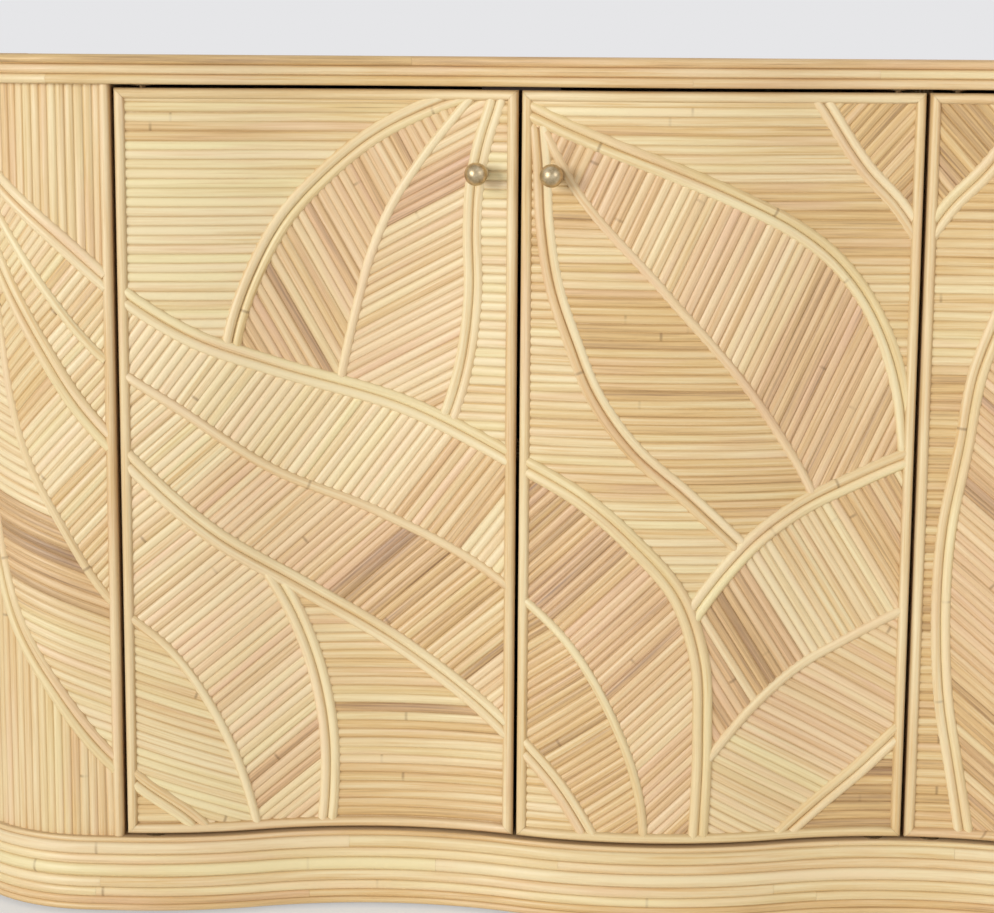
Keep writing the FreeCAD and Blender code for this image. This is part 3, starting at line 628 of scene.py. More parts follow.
UPRIGHT_LEAF = Leaf(
    upper=((205, 748), (140, 690), (92, 625), (70, 570), (54, 523), (43, 450), (31, 376),
           (29, 272), (34, 212), (45, 151), (62, 60)),
    midrib=((205, 748), (176, 640), (155, 520), (143, 400), (138, 280), (142, 160), (150, 60)),
    lower=((205, 748), (262, 660), (296, 560), (300, 450), (283, 340), (262, 240), (245, 60)),
    lays={
        Panel.RIGHT_INNER: (Lay(140, 0.34, 0.35, 7.2, (Streak((80, 400), 40, 0.6, 0.4),
                                                        Streak((50, 185), 100, 0.5, 0.15))),
                            Lay(38, 0.3, 0.2)),
    },
)
SIDE_END_LEAF = Leaf(
    upper=((-1175, 715), (-1218, 600), (-1228, 470), (-1198, 330), (-1140, 200), (-1080, 60)),
    midrib=((-1175, 715), (-1160, 590), (-1130, 450), (-1085, 310), (-1030, 180), (-985, 60)),
    lower=((-1175, 715), (-1095, 640), (-1030, 530), (-978, 400), (-945, 270), (-925, 150),
           (-915, 60)),
    lays={Panel.LEFT_END: (Lay(152, 0.3, 0.3), Lay(40, 0.24, 0.15))},
)

# In front first: each leaf hides what lies under it
LEFT_LEAVES = (LONG_LEAF, LOW_LEAF, TALL_LEAF, SIDE_LEAF, BROAD_LEAF, SIDE_END_LEAF)
MIRRORED_LEAVES = tuple(leaf.mirrored() for leaf in (LONG_LEAF, LOW_LEAF, TALL_LEAF, SIDE_END_LEAF))
LEAVES = LEFT_LEAVES + MIRRORED_LEAVES + (UPRIGHT_LEAF, MEETING_LEAF)

GROUNDS = {
    # The left end's ground is toned darker as painted shade, so that the key lamp from the left does
    # not make the end brighter than the front
    Panel.LEFT_END: Lay(90, 0.3, 0.05, 8.2),
    Panel.LEFT_OUTER: Lay(0, 0.09, 0.0, 8.5, (Streak((-450, 190), 240, 0.33, 0.05),
                                              Streak((-560, 755), 60, 0.27))),
    Panel.LEFT_INNER: Lay(0, 0.22, 0.0, 8.3, (Streak((-150, 680), 260, 0.33),
                                              Streak((-60, 650), 70, 0.42),
                                              Streak((-60, 105), 110, 0.72, 0.05, 150))),
    Panel.RIGHT_INNER: Lay(0, 0.46, 0.0, 8.3),
    Panel.RIGHT_OUTER: Lay(0, 0.2, 0.0, 8.5),
    Panel.RIGHT_END: Lay(90, 0.26, 0.05, 8.2),
}


# Lines in a field
def smooth(line: Line, step: float = 4.0) -> Array:
    """Smooth curve through a few places.

    Args:
        line: Places in order.
        step: Distance between the points that come back.

    Returns:
        Points along the curve, one to a row.
    """
    knots = np.array(line, float)
    chords = np.linalg.norm(np.diff(knots, axis=0), axis=1)
    place = np.concatenate([[0.0], np.cumsum(chords)])
    heading = np.gradient(knots, place, axis=0)
    wanted = np.linspace(0.0, place[-1], max(2, round(place[-1] / step) + 1))
    first = np.clip(np.searchsorted(place, wanted, side="right") - 1, 0, len(knots) - 2)
    length = chords[first][:, None]
    share = (wanted - place[first])[:, None] / length
    rest = 1.0 - share
    return (knots[first] * (1 + 2 * share) * rest ** 2
            + heading[first] * length * share * rest ** 2
            + knots[first + 1] * (3 - 2 * share) * share ** 2
            - heading[first + 1] * length * rest * share ** 2)


def shifted(curve: Array, distance: float, away_from: Array) -> Array:
    """Move a curve sideways, away from another curve.

    Args:
        curve: Points in order, one to a row.
        distance: How far to move it, below nought towards the other curve.
        away_from: Points of the other curve.

    Returns:
        The moved points, one to a row.
    """
    heading = np.gradient(curve, axis=0)
    across = np.stack([-heading[:, 1], heading[:, 0]], axis=1)
    across /= np.linalg.norm(across, axis=1, keepdims=True)
    middle = len(curve) // 2
    nearest = away_from[np.argmin(np.linalg.norm(away_from - curve[middle], axis=1))]
    side = math.copysign(1.0, float(across[middle] @ (curve[middle] - nearest)))
    return curve + side * distance * across


def spans(outline: Array, origin: Array, direction: Array) -> list[Span]:
    """Stretches of a straight line that lie inside a closed outline.

    Args:
        outline: Corners of the outline, one to a row.
        origin: A place on the line.
        direction: Unit vector along the line.

    Returns:
        Start and end of each stretch, as distances from the origin.
    """
    from_line = outline - origin
    side = from_line @ np.array([-direction[1], direction[0]])
    along = from_line @ direction
    next_side = np.roll(side, -1)
    crossed = (side > 0) != (next_side > 0)
    share = side[crossed] / (side[crossed] - next_side[crossed])
    places = np.sort(along[crossed] + share * (np.roll(along, -1)[crossed] - along[crossed]))
    return list(zip(places[::2].tolist(), places[1::2].tolist()))


def shared(first: list[Span], second: list[Span]) -> list[Span]:
    """Stretches that two lists have in common."""
    pairs = [(max(a[0], b[0]), min(a[1], b[1])) for a in first for b in second]
    return [pair for pair in pairs if pair[1] > pair[0]]


def without(kept: list[Span], cuts: list[Span]) -> list[Span]:
    """Take stretches out of others.

    Args:
        kept: Stretches to take from.
        cuts: Stretches to take out.

    Returns:
        The stretches that are left.
    """
    for low, high in cuts:
        parts = [part for start, end in kept
                 for part in ((start, min(end, low)), (max(start, high), end))]
        kept = [part for part in parts if part[1] > part[0]]
    return kept


def inside(outline: Array, points: Array) -> Array:
    """Find which points lie inside a closed outline.

    Args:
        outline: Corners of the outline, one to a row.
        points: Places to test, one to a row.

    Returns:
        True for each point inside.
    """
    found = np.zeros(len(points), bool)
    level = points[:, 1]
    for (x0, y0), (x1, y1) in zip(outline, np.roll(outline, -1, axis=0)):
        if y0 != y1:
            crossed = (y0 > level) != (y1 > level)
            found ^= crossed & (points[:, 0] < (x1 - x0) * (level - y0) / (y1 - y0) + x0)
    return found


# Faces that carry reeds
@dataclass(frozen=True)
class Plan:
    """Plan of the face that carries the reeds round the front and both ends.

    A place along it is measured across the front from the middle, and past the stiles along the
    rounded ends and the straight sides.
    """

    pitch: float
    crest: float
    half_width: float
    back: float
    wave_depth: float = 36.0
    end_flat: float = 34.0
    half_waves: int = 3

    @classmethod
    def from_frame(cls) -> Plan:
        """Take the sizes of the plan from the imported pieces.

        Returns:
            The plan.
        """
        door_low, door_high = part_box("left_inner_door_core")
        end_low, end_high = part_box("left_end_panel")
        return cls(pitch=-(door_low.x + door_high.x) / MM, crest=end_low.y / MM,
                   half_width=-end_low.x / MM, back=end_high.y / MM)

    @property
    def stile(self) -> float:
        """Place where the rounded end begins."""
        return 2 * self.pitch + self.end_flat

    @property
    def end_radius(self) -> float:
        """Radius of the rounded ends."""
        return self.half_width - self.stile

    @property
    def end_arc(self) -> float:
        """Length round one end's quarter circle."""
        return self.end_radius * math.pi / 2

    @property
    def reach(self) -> float:
        """Place of the back edge."""
        return self.stile + self.end_arc + self.back - self.crest - self.end_radius

    def place(self, points: Array, lift: Array | float) -> tuple[Array, Array]:
        """Points in space over places on the face.

        Args:
            points: Places along the plan and levels, one pair to a row.
            lift: Distance out from the face.

        Returns:
            Points in metres, and the outward normal at each.
        """
        half_wave = 2 * self.pitch / self.half_waves
        quarter = half_wave / 2
        radius = (quarter ** 2 + (self.wave_depth / 2) ** 2) / self.wave_depth
        side = np.where(points[:, 0] < 0, -1.0, 1.0)
        far = np.abs(points[:, 0])
        waves = np.minimum(far, 2 * self.pitch)
        number = np.round(waves / half_wave)
        aside = waves - number * half_wave
        root = np.sqrt(radius ** 2 - aside ** 2)
        bulge = np.where(number % 2 == 1, 1.0, -1.0)
        middle = self.crest + np.where(bulge > 0, 0.0, self.wave_depth)
        wave_depth = middle + bulge * (radius - root)
        turn = np.clip((far - self.stile) / self.end_radius, 0.0, math.pi / 2)
        straight = np.maximum(far - self.stile - self.end_arc, 0.0)
        end_depth = self.crest + self.end_radius * (1 - np.cos(turn)) + straight
        on_end = far > self.stile
        across = np.where(on_end, self.stile + self.end_radius * np.sin(turn), far)
        depth = np.where(on_end, end_depth, wave_depth)
        out_across = np.where(on_end, np.sin(turn), bulge * aside / radius) * side
        out_depth = np.where(on_end, -np.cos(turn), -root / radius)
        normals = np.stack([out_across, out_depth, np.zeros_like(far)], axis=1)
        feet = np.stack([side * across, depth, points[:, 1]], axis=1)
        return (feet + normals * np.reshape(lift, (-1, 1))) * MM, normals


@dataclass(frozen=True)
class Level:
    """Level face at one height, seen from above."""

    height: float

    def place(self, points: Array, lift: Array | float) -> tuple[Array, Array]:
        """Points in space over places across and in depth.

        Args:
            points: Places across and in depth, one pair to a row.
            lift: Distance up from the face.

        Returns:
            Points in metres, and the upward normal at each.
        """
        heights = np.broadcast_to(self.height + np.reshape(lift, (-1, 1)), (len(points), 1))
        normals = np.broadcast_to([0.0, 0.0, 1.0], (len(points), 3))
        return np.hstack([points, heights]) * MM, normals


# Reeds
@dataclass(frozen=True)
class ReedSection:
    """Half-round section of a split reed, whose flanks end at an angle from its crown."""

    width: float
    height: float
    sides: int
    rim: float = math.radians(84)


class Section(Enum):
    """The sections of reed that the cabinet is clad with."""

    FILL = ReedSection(8.5, 2.0, 8, math.radians(68))
    RIB = ReedSection(10.0, 4.9, 9)
    PLINTH = ReedSection(13.25, 4.9, 9)
    TOP_EDGE = ReedSection(9.3, 4.9, 9)
    TOP = ReedSection(8.8, 4.6, 6, math.radians(70))


@dataclass(frozen=True)
class Cane:
    """Look of one cane: its tone, its blush, its thickness and its own drawn number."""

    tone: float
    blush: float
    breadth: float
    seed: float


@dataclass
class ReedBundle:
    """Reeds gathered as lines on a face, before they are grown."""

    points: list[Array] = field(default_factory=list)
    normals: list[Array] = field(default_factory=list)
    canes: list[Cane] = field(default_factory=list)
    breadths: list[Array] = field(default_factory=list)
    sink: float = 0.3

    def add(self, face: Plan | Level, line: Array, cane: Cane, lift: float = 0.0,
            ends: float = 1.0) -> None:
        """Lay one reed on a face, its flat side a little below it.

        Args:
            face: Face that carries the reed.
            line: Places on the face, one to a row.
            cane: Look of the reed.
            lift: Distance out from the face.
            ends: Share of its thickness that both ends are pared down to.
        """
        points, normals = face.place(line, lift - self.sink)
        breadths = np.full(len(line), cane.breadth)
        breadths[[0, -1]] *= ends
        self.points.append(points)
        self.normals.append(normals)
        self.canes.append(cane)
        self.breadths.append(breadths)

    def mesh(self, name: str) -> bpy.types.Mesh:
        """Make a mesh of bare edges that carries the looks of the canes as attributes.

        Args:
            name: Name of the mesh.

        Returns:
            The mesh.
        """
        counts = np.array([len(line) for line in self.points])
        points = np.concatenate(self.points)
        starts = np.ones(len(points), bool)
        starts[np.cumsum(counts)[:-1]] = False
        seconds = np.nonzero(starts)[0][1:]
        mesh = bpy.data.meshes.new(name)
        mesh.vertices.add(len(points))
        mesh.vertices.foreach_set("co", points.astype(np.float32).ravel())
        mesh.edges.add(len(seconds))
        mesh.edges.foreach_set("vertices", np.stack([seconds - 1, seconds], axis=1).ravel())
        normal = mesh.attributes.new("face_normal", "FLOAT_VECTOR", "POINT")
        normal.data.foreach_set("vector", np.concatenate(self.normals).astype(np.float32).ravel())
        values = {look: np.repeat([getattr(cane, look) for cane in self.canes], counts)
                  for look in ("tone", "blush", "seed")}
        values["breadth"] = np.concatenate(self.breadths)
        for look, value in values.items():
            attribute = mesh.attributes.new(look, "FLOAT", "POINT")
            attribute.data.foreach_set("value", value.astype(np.float32))
        mesh.update()
        return mesh


class ReedTree:
    """Geometry Nodes tree that grows half-round reeds along lines."""

    INPUTS = {"Lines": "Geometry", "Reed Width": "Float", "Reed Height": "Float",
              "Reed Sides": "Int", "Rim Angle": "Float", "Finish": "Material"}

    def __init__(self) -> None:
        """Build the tree, whose sections are arcs squeezed to their width and height."""
        tree = bpy.data.node_groups.new("split_reed", "GeometryNodeTree")
        self.tree = tree
        self.sockets = {name: tree.interface.new_socket(
            name, in_out="INPUT", socket_type=f"NodeSocket{kind}").identifier
            for name, kind in self.INPUTS.items()}
        tree.interface.new_socket("Reeds", in_out="OUTPUT", socket_type="NodeSocketGeometry")
        node = partial(add_node, tree)
        entry = node("NodeGroupInput").outputs
        rim, height = entry["Rim Angle"], entry["Reed Height"]
        cosine = node("ShaderNodeMath", (rim,), operation="COSINE")
        rise = node("ShaderNodeMath", (1.0, cosine), operation="SUBTRACT")
        tall = node("ShaderNodeMath", (height, rise), operation="DIVIDE")
        sine = node("ShaderNodeMath", (rim,), operation="SINE")
        breadth = node("ShaderNodeMath", (sine, 2.0), operation="MULTIPLY")
        wide = node("ShaderNodeMath", (entry["Reed Width"], breadth), operation="DIVIDE")
        drop = node("ShaderNodeMath", (height, tall), operation="SUBTRACT")
        start = node("ShaderNodeMath", (rim, -1.0), operation="MULTIPLY")
        sweep = node("ShaderNodeMath", (rim, 2.0), operation="MULTIPLY")
        arc = node("GeometryNodeCurveArc", {
            "Resolution": entry["Reed Sides"], "Radius": 1.0, "Start Angle": start,
            "Sweep Angle": sweep}, mode="RADIUS")
        across = node("GeometryNodeStoreNamedAttribute", {
            "Geometry": arc, "Name": "across",
            "Value": node("GeometryNodeSplineParameter").outputs["Factor"]})
        closed = node("GeometryNodeSetSplineCyclic", {"Geometry": across, "Cyclic": True})
        section = node("GeometryNodeTransform", {
            "Geometry": closed, "Translation": node("ShaderNodeCombineXYZ", (drop,)),
            "Scale": node("ShaderNodeCombineXYZ", (tall, wide, 1.0))})
        curves = node("GeometryNodeMeshToCurve", {"Mesh": entry["Lines"]})
        along = node("GeometryNodeStoreNamedAttribute", {
            "Geometry": curves, "Name": "along",
            "Value": node("GeometryNodeSplineParameter").outputs["Length"]})
        facing = node("GeometryNodeInputNamedAttribute", {"Name": "face_normal"},
                      data_type="FLOAT_VECTOR")
        turned = node("GeometryNodeSetCurveNormal", {"Curve": along, "Normal": facing}, mode="FREE")
        thickness = node("GeometryNodeInputNamedAttribute", {"Name": "breadth"}, data_type="FLOAT")
        grown = node("GeometryNodeCurveToMesh", {
            "Curve": turned, "Profile Curve": section, "Scale": thickness, "Fill Caps": True})
        shaded = node("GeometryNodeSetShadeSmooth", {"Geometry": grown})
        real = node("GeometryNodeRealizeInstances", {"Geometry": shaded})
        dressed = node("GeometryNodeSetMaterial", {"Geometry": real, "Material": entry["Finish"]})
        node("NodeGroupOutput", (dressed,))

    def grow(self, name: str, bundle: ReedBundle, section: ReedSection, finish: Material) -> Piece:
        """Grow a bundle of reeds into one plain mesh.

        Args:
            name: Name of the piece.
            bundle: Lines of the reeds.
            section: Section of each reed.
            finish: Material of the piece.

        Returns:
            The piece, in place.
        """
        lines = link_piece(f"{name}_lines", bundle.mesh(f"{name}_lines"))
        modifier = lines.modifiers.new("reeds", "NODES")
        modifier.node_group = self.tree
        settings = {"Reed Width": section.width * MM, "Reed Height": section.height * MM,
                    "Reed Sides": section.sides, "Rim Angle": section.rim, "Finish": finish}
        for socket, setting in settings.items():
            modifier[self.sockets[socket]] = setting
        evaluated = lines.evaluated_get(bpy.context.evaluated_depsgraph_get())
        mesh = bpy.data.meshes.new_from_object(evaluated)
        lines.modifiers.remove(modifier)
        bare = lines.data
        bpy.data.objects.remove(lines)
        bpy.data.meshes.remove(bare)
        mesh.name = name
        mesh.set_sharp_from_angle(angle=CREASE)
        return link_piece(name, mesh)


# Pieces
def link_piece(name: str, mesh: bpy.types.Mesh) -> Piece:
    """Make an object of a mesh and link it to the scene at the origin.

    Args:
        name: Name of the piece.
        mesh: Mesh of the piece.

    Returns:
        The piece.
    """
    piece = bpy.data.objects.new(name, mesh)
    bpy.context.scene.collection.objects.link(piece)
    return piece


def shaped_piece(name: str, shape: bmesh.types.BMesh, finish: Material, crease: float) -> Piece:
    """Make a piece of a shape, smooth but for its creases, with its faces outwards.

    Args:
        name: Name of the piece.
        shape: The shape, which is freed.
        finish: Material of the piece.
        crease: Angle from which an edge stays sharp.

    Returns:
        The piece, in place.
    """
    bmesh.ops.recalc_face_normals(shape, faces=shape.faces[:])
    mesh = bpy.data.meshes.new(name)
    shape.to_mesh(mesh)
    shape.free()
    mesh.shade_smooth()
    mesh.set_sharp_from_angle(angle=crease)
    mesh.materials.append(finish)
    return link_piece(name, mesh)


def settle(piece: Piece, body: str, slot: str, *nodes: str) -> None:
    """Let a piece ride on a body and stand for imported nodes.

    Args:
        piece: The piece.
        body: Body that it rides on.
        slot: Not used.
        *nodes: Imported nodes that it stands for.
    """
    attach(piece, body)
    if nodes:
        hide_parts(*nodes)
    LOG.info("%s rides on %s with %d faces", piece.name, body, len(piece.data.polygons))


# Sub-assemblies
@dataclass
class Bench:
    """What every sub-assembly is made with: the plan, the reed tree and the finishes."""

    plan: Plan
    tree: ReedTree
    reed: Material
    brass: Material

    def fit(self, name: str, bundle: ReedBundle, section: Section, body: str, node: str) -> None:
        """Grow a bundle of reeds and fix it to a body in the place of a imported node."""
        settle(self.tree.grow(name, bundle, section.value, self.reed), body, "reed", node)


@dataclass
class Grader:
    """Draws the looks of canes, which come in batches of like tone."""

    seed: int
    batch: tuple[int, int] = (3, 11)
    batch_spread: float = 0.065
    batch_blush: Span = (0.65, 1.25)
    cane_spread: float = 0.05
    blush_spread: float = 0.06
    most_blush: float = 0.85
    breadth_spread: float = 0.03
    breadth_limit: float = 0.06
    stray_share: float = 0.09
    stray_tone: float = 0.13
    stray_range: Span = (0.5, 1.3)
    streak_edge: Span = (0.3, 0.6)
    streak_spread: float = 0.06

    def __post_init__(self) -> None:
        """Start the draws."""
        self.draw = np.random.default_rng(self.seed)

    def cane(self, tone: float, blush: float, breadth: float = 1.0) -> Cane:
        """Draw one cane near a tone and a blush.

        Args:
            tone: Tone to be near.
            blush: Blush to be near.
            breadth: Thickness to be near, as a share of the section's.

        Returns:
            The cane.
        """
        if self.draw.random() < self.stray_share:
            tone += self.stray_tone * self.draw.uniform(*self.stray_range)
        tone = np.clip(tone + self.draw.normal(0, self.cane_spread), 0, 1)
        blush = np.clip(blush + self.draw.normal(0, self.blush_spread), 0, self.most_blush)
        more = np.clip(self.draw.normal(0, self.breadth_spread), -self.breadth_limit,
                       self.breadth_limit)
        return Cane(float(tone), float(blush), breadth * float(1 + more), float(self.draw.random()))

    def lengths(self, whole: Span, first: Span, usual: Span, spare: float = 0.0) -> Iterator[Span]:
        """Lengths that a row is made up from, end to end.

        Args:
            whole: Start and end of the row.
            first: Range of the first length.
            usual: Range of the others.
            spare: What may be left bare at the end.

        Yields:
            Start and end of each length.
        """
        start, stop = whole
        length = self.draw.uniform(*first)
        while start < stop - spare:
            end = min(start + length, stop)
            yield start, end
            start = end
            length = self.draw.uniform(*usual)

    def batches(self, lay: Lay, offsets: Array,
                normal: Array) -> Iterator[list[tuple[Span, Streak | None]]]:
        """Tone and blush of each line of a field, in batches, with the lay's streaks.

        Args:
            lay: Lay of the field.
            offsets: Distance of each line along the normal.
            normal: Unit vector square to the lines.

        Yields:
            Tone and blush of the line, the plain ones first, each with the streak they are from.
        """
        left = 0
        tone = blush = 0.0
        for offset in offsets:
            if left == 0:
                left = int(self.draw.integers(*self.batch))
                tone = lay.tone + self.draw.normal(0, self.batch_spread)
                blush = lay.blush * self.draw.uniform(*self.batch_blush)
            left -= 1
            looks: list[tuple[Span, Streak | None]] = [((tone, blush), None)]
            for streak in lay.streaks:
                aside = abs(offset - np.array(streak.place) @ normal) / streak.breadth
                if aside < self.draw.uniform(*self.streak_edge):
                    streak_tone = streak.tone + self.draw.normal(0, self.streak_spread)
                    looks.append(((streak_tone, streak.blush), streak))
            yield looks


@dataclass
class Cladding:
    """Reeds laid as leaves over one panel, with ribs along the leaves' outlines and midribs."""

    bench: Bench
    panel: Panel
    low: tuple[float, float]
    high: tuple[float, float]
    first_seed: int = 100
    longest: float = 900.0
    always_whole: float = 360.0
    shortest: float = 5.0
    joint_range: Span = (0.15, 0.85)
    joint_gap: float = 0.25
    wander: float = 0.25
    pressing: float = 1.1
    bend_step: float = 18.0
    rib_pitch: float = 9.2
    rib_overlap: float = -1.5
    rib_step: float = 0.35
    rib_tone: float = 0.12
    rib_blush: float = 0.05
    rib_reach: float = 2.0
    rib_ends: float = 0.4
    rib_tuck: float = 5.0

    def __post_init__(self) -> None:
        """Start with bare bundles and this panel's own draws."""
        self.fill = ReedBundle()
        self.ribs = ReedBundle()
        self.grader = Grader(seed=self.first_seed + list(Panel).index(self.panel))

    def window(self, margin: float = 0.0) -> Array:
        """Outline the panel's clad area, grown by a margin.

        Args:
            margin: How far to grow it.

        Returns:
            Corners in order, one to a row.
        """
        left, bottom = self.low[0] - margin, self.low[1] - margin
        right, top = self.high[0] + margin, self.high[1] + margin
        return np.array([(left, bottom), (right, bottom), (right, top), (left, top)], float)

    def build(self, body: str) -> None:
        """Lay the panel's leaves, from the front one back, then the ground, and fix all to a body.

        Args:
            body: Body that carries the panel.
        """
        covers: list[Array] = []
        rib_covers: list[Array] = []
        for depth, leaf in enumerate(leaf for leaf in LEAVES if self.panel in leaf.lays):
            sunk = -depth * self.rib_step
            upper, midrib, lower = (smooth(line) for line in (leaf.upper, leaf.midrib, leaf.lower))
            half_pair = self.rib_pitch / 2
            for outline, lay in zip((upper, lower), leaf.lays[self.panel]):
                inner = shifted(outline, -half_pair, midrib)
                self._fill(np.concatenate([inner, midrib[::-1]]), lay, covers)
                for side in (-half_pair, half_pair):
                    self._rib(shifted(outline, side, midrib), rib_covers, sunk)
            self._rib(midrib, rib_covers, sunk)
            for found, margin in ((covers, half_pair), (rib_covers, half_pair + self.rib_overlap)):
                found.append(np.concatenate([shifted(upper, margin, midrib),
                                             shifted(lower, margin, midrib)[::-1]]))
        self._fill(self.window(), GROUNDS[self.panel], covers)
        name = self.panel.value
        self.bench.fit(f"{name}_reed_leaves", self.fill, Section.FILL, body, f"{name}_reeds")
        self.bench.fit(f"{name}_leaf_ribs", self.ribs, Section.RIB, body, f"{name}_reeds")

    def _fill(self, outline: Array, lay: Lay, covers: list[Array]) -> None:
        """Fill an outline with parallel reeds, wherever nothing covers them.

        Args:
            outline: Corners of the field, one to a row.
            lay: How the reeds lie.
            covers: Outlines of what lies over the field.
        """
        angle = math.radians(lay.angle)
        direction = np.array([math.cos(angle), math.sin(angle)])
        normal = np.array([-direction[1], direction[0]])
        reach = outline @ normal
        numbers = np.arange(math.ceil(reach.min() / lay.pitch), math.floor(reach.max() / lay.pitch) + 1)
        offsets = numbers * lay.pitch
        breadth = lay.pitch / Section.FILL.value.width * self.pressing
        for offset, looks in zip(offsets, self.grader.batches(lay, offsets, normal)):
            origin = normal * offset
            found = shared(spans(outline, origin, direction), spans(self.window(), origin, direction))
            for cover in covers:
                found = without(found, spans(cover, origin, direction))
            for start, end in found:
                middle = (start + end) / 2
                look = [look for look, streak in looks if streak is None or
                        abs(middle - np.array(streak.place) @ direction) < streak.reach][-1]
                for part in self._lengths(start, end):
                    self._reed(origin, direction, part, self.grader.cane(*look, breadth))

    def _lengths(self, start: float, end: float) -> list[Span]:
        """Cut a stretch into lengths, with butt joints between them.

        Args:
            start: Start of the stretch.
            end: End of the stretch.

        Returns:
            Start and end of each length.
        """
        if end - start < self.shortest:
            return []
        draw = self.grader.draw.random()
        if end - start < self.always_whole or draw > (end - start) / self.longest:
            return [(start, end)]
        joint = start + (end - start) * self.grader.draw.uniform(*self.joint_range)
        return [(start, joint - self.joint_gap), (joint, end)]

    def _reed(self, origin: Array, direction: Array, part: Span, cane: Cane) -> None:
        """Lay one straight reed of a field, bent over the face that carries it.

        Args:
            origin: Place that distances are measured from.
            direction: Unit vector along the reed.
            part: Start and end of the reed.
            cane: Look of the reed.
        """
        run = abs(direction[0]) * (part[1] - part[0])
        count = max(2, math.ceil(run / self.bend_step) + 1)
        steps = np.linspace(part[0], part[1], count)
        aside = np.linspace(*self.grader.draw.normal(0, self.wander, 2), count)
        normal = np.array([-direction[1], direction[0]])
        line = origin + steps[:, None] * direction + aside[:, None] * normal
        self.fill.add(self.bench.plan, line, cane)

    def _rib(self, curve: Array, covers: list[Array], lift: float) -> None:
        """Lay a rib along a curve, wherever nothing covers it.

        Args:
            curve: Points along the rib, one to a row.
            covers: Outlines of what lies over it.
            lift: Distance out from the face.
        """
        seen = inside(self.window(self.rib_reach), curve)
        for cover in covers:
            seen &= ~inside(cover, curve)
        edges = np.nonzero(np.diff(np.concatenate([[False], seen, [False]]).astype(int)))[0]
        for first, last in zip(edges[::2], edges[1::2]):
            run = curve[first:last]
            if len(run) > 2:
                thinned = np.concatenate([run[:-1:2], run[-1:]])
                cane = self.grader.cane(self.rib_tone, self.rib_blush)
                self.ribs.add(self.bench.plan, self._tucked(thinned), cane, lift, self.rib_ends)

    def _tucked(self, run: Array) -> Array:
        """Draw a rib out at both ends, so that it slips under what it meets.

        Args:
            run: Points along the rib, one to a row.

        Returns:
            The points, with one more at each end where ribs are tucked.
        """
        if not self.rib_tuck:
            return run
        ways = np.stack([run[0] - run[1], run[-1] - run[-2]])
        ways *= self.rib_tuck / np.linalg.norm(ways, axis=1, keepdims=True)
        return np.concatenate([run[:1] + ways[:1], run, run[-1:] + ways[1:]])


@dataclass
class BeadFrame:
    """Half-round beads on a panel, mitred where they meet."""

    bench: Bench
    grader: Grader
    width: float = 10.0
    height: float = 5.0
    arc_points: int = 9
    step: float = 15.0
    mitre_gap: float = 0.15
    tone: float = 0.24
    blush: float = 0.08

    def __post_init__(self) -> None:
        """Start with an empty mesh."""
        self.shape = bmesh.new()
        self.looks = {look: self.shape.verts.layers.float.new(look)
                      for look in ("tone", "blush", "along", "across", "seed")}

    def bead(self, outer: Line, inner: Line) -> None:
        """Add one bead between its outer and its inner edge.

        Args:
            outer: Start and end of the outer edge.
            inner: Start and end of the inner edge.
        """
        outer_ends, inner_ends = np.array(outer, float), np.array(inner, float)
        length = float(np.linalg.norm(outer_ends[1] - outer_ends[0]))
        trim = self.mitre_gap / length
        along = np.linspace(trim, 1 - trim, math.ceil(length / self.step) + 1)
        across = (1 - np.cos(np.linspace(0, math.pi, self.arc_points))) / 2
        lift = self.height * np.sqrt(np.maximum(1 - (2 * across - 1) ** 2, 0))
        cane = self.grader.cane(self.tone, self.blush)
        rows = []
        for share in along:
            edge = outer_ends[0] + share * (outer_ends[1] - outer_ends[0])
            far = inner_ends[0] + share * (inner_ends[1] - inner_ends[0])
            points, _ = self.bench.plan.place(edge + across[:, None] * (far - edge), lift)
            row = [self.shape.verts.new(point) for point in points]
            for vertex, place in zip(row, across):
                looks = (cane.tone, cane.blush, share * length * MM, float(place), cane.seed)
                for layer, value in zip(self.looks.values(), looks):
                    vertex[layer] = value
            rows.append(row)
        for first, second in zip(rows, rows[1:]):
            for place in range(self.arc_points):
                after = (place + 1) % self.arc_points
                self.shape.faces.new((first[place], first[after], second[after], second[place]))
        self.shape.faces.new(rows[0])
        self.shape.faces.new(rows[-1][::-1])

    def piece(self, name: str) -> Piece:
        """The beads as one piece."""
        return shaped_piece(name, self.shape, self.bench.reed, CREASE)


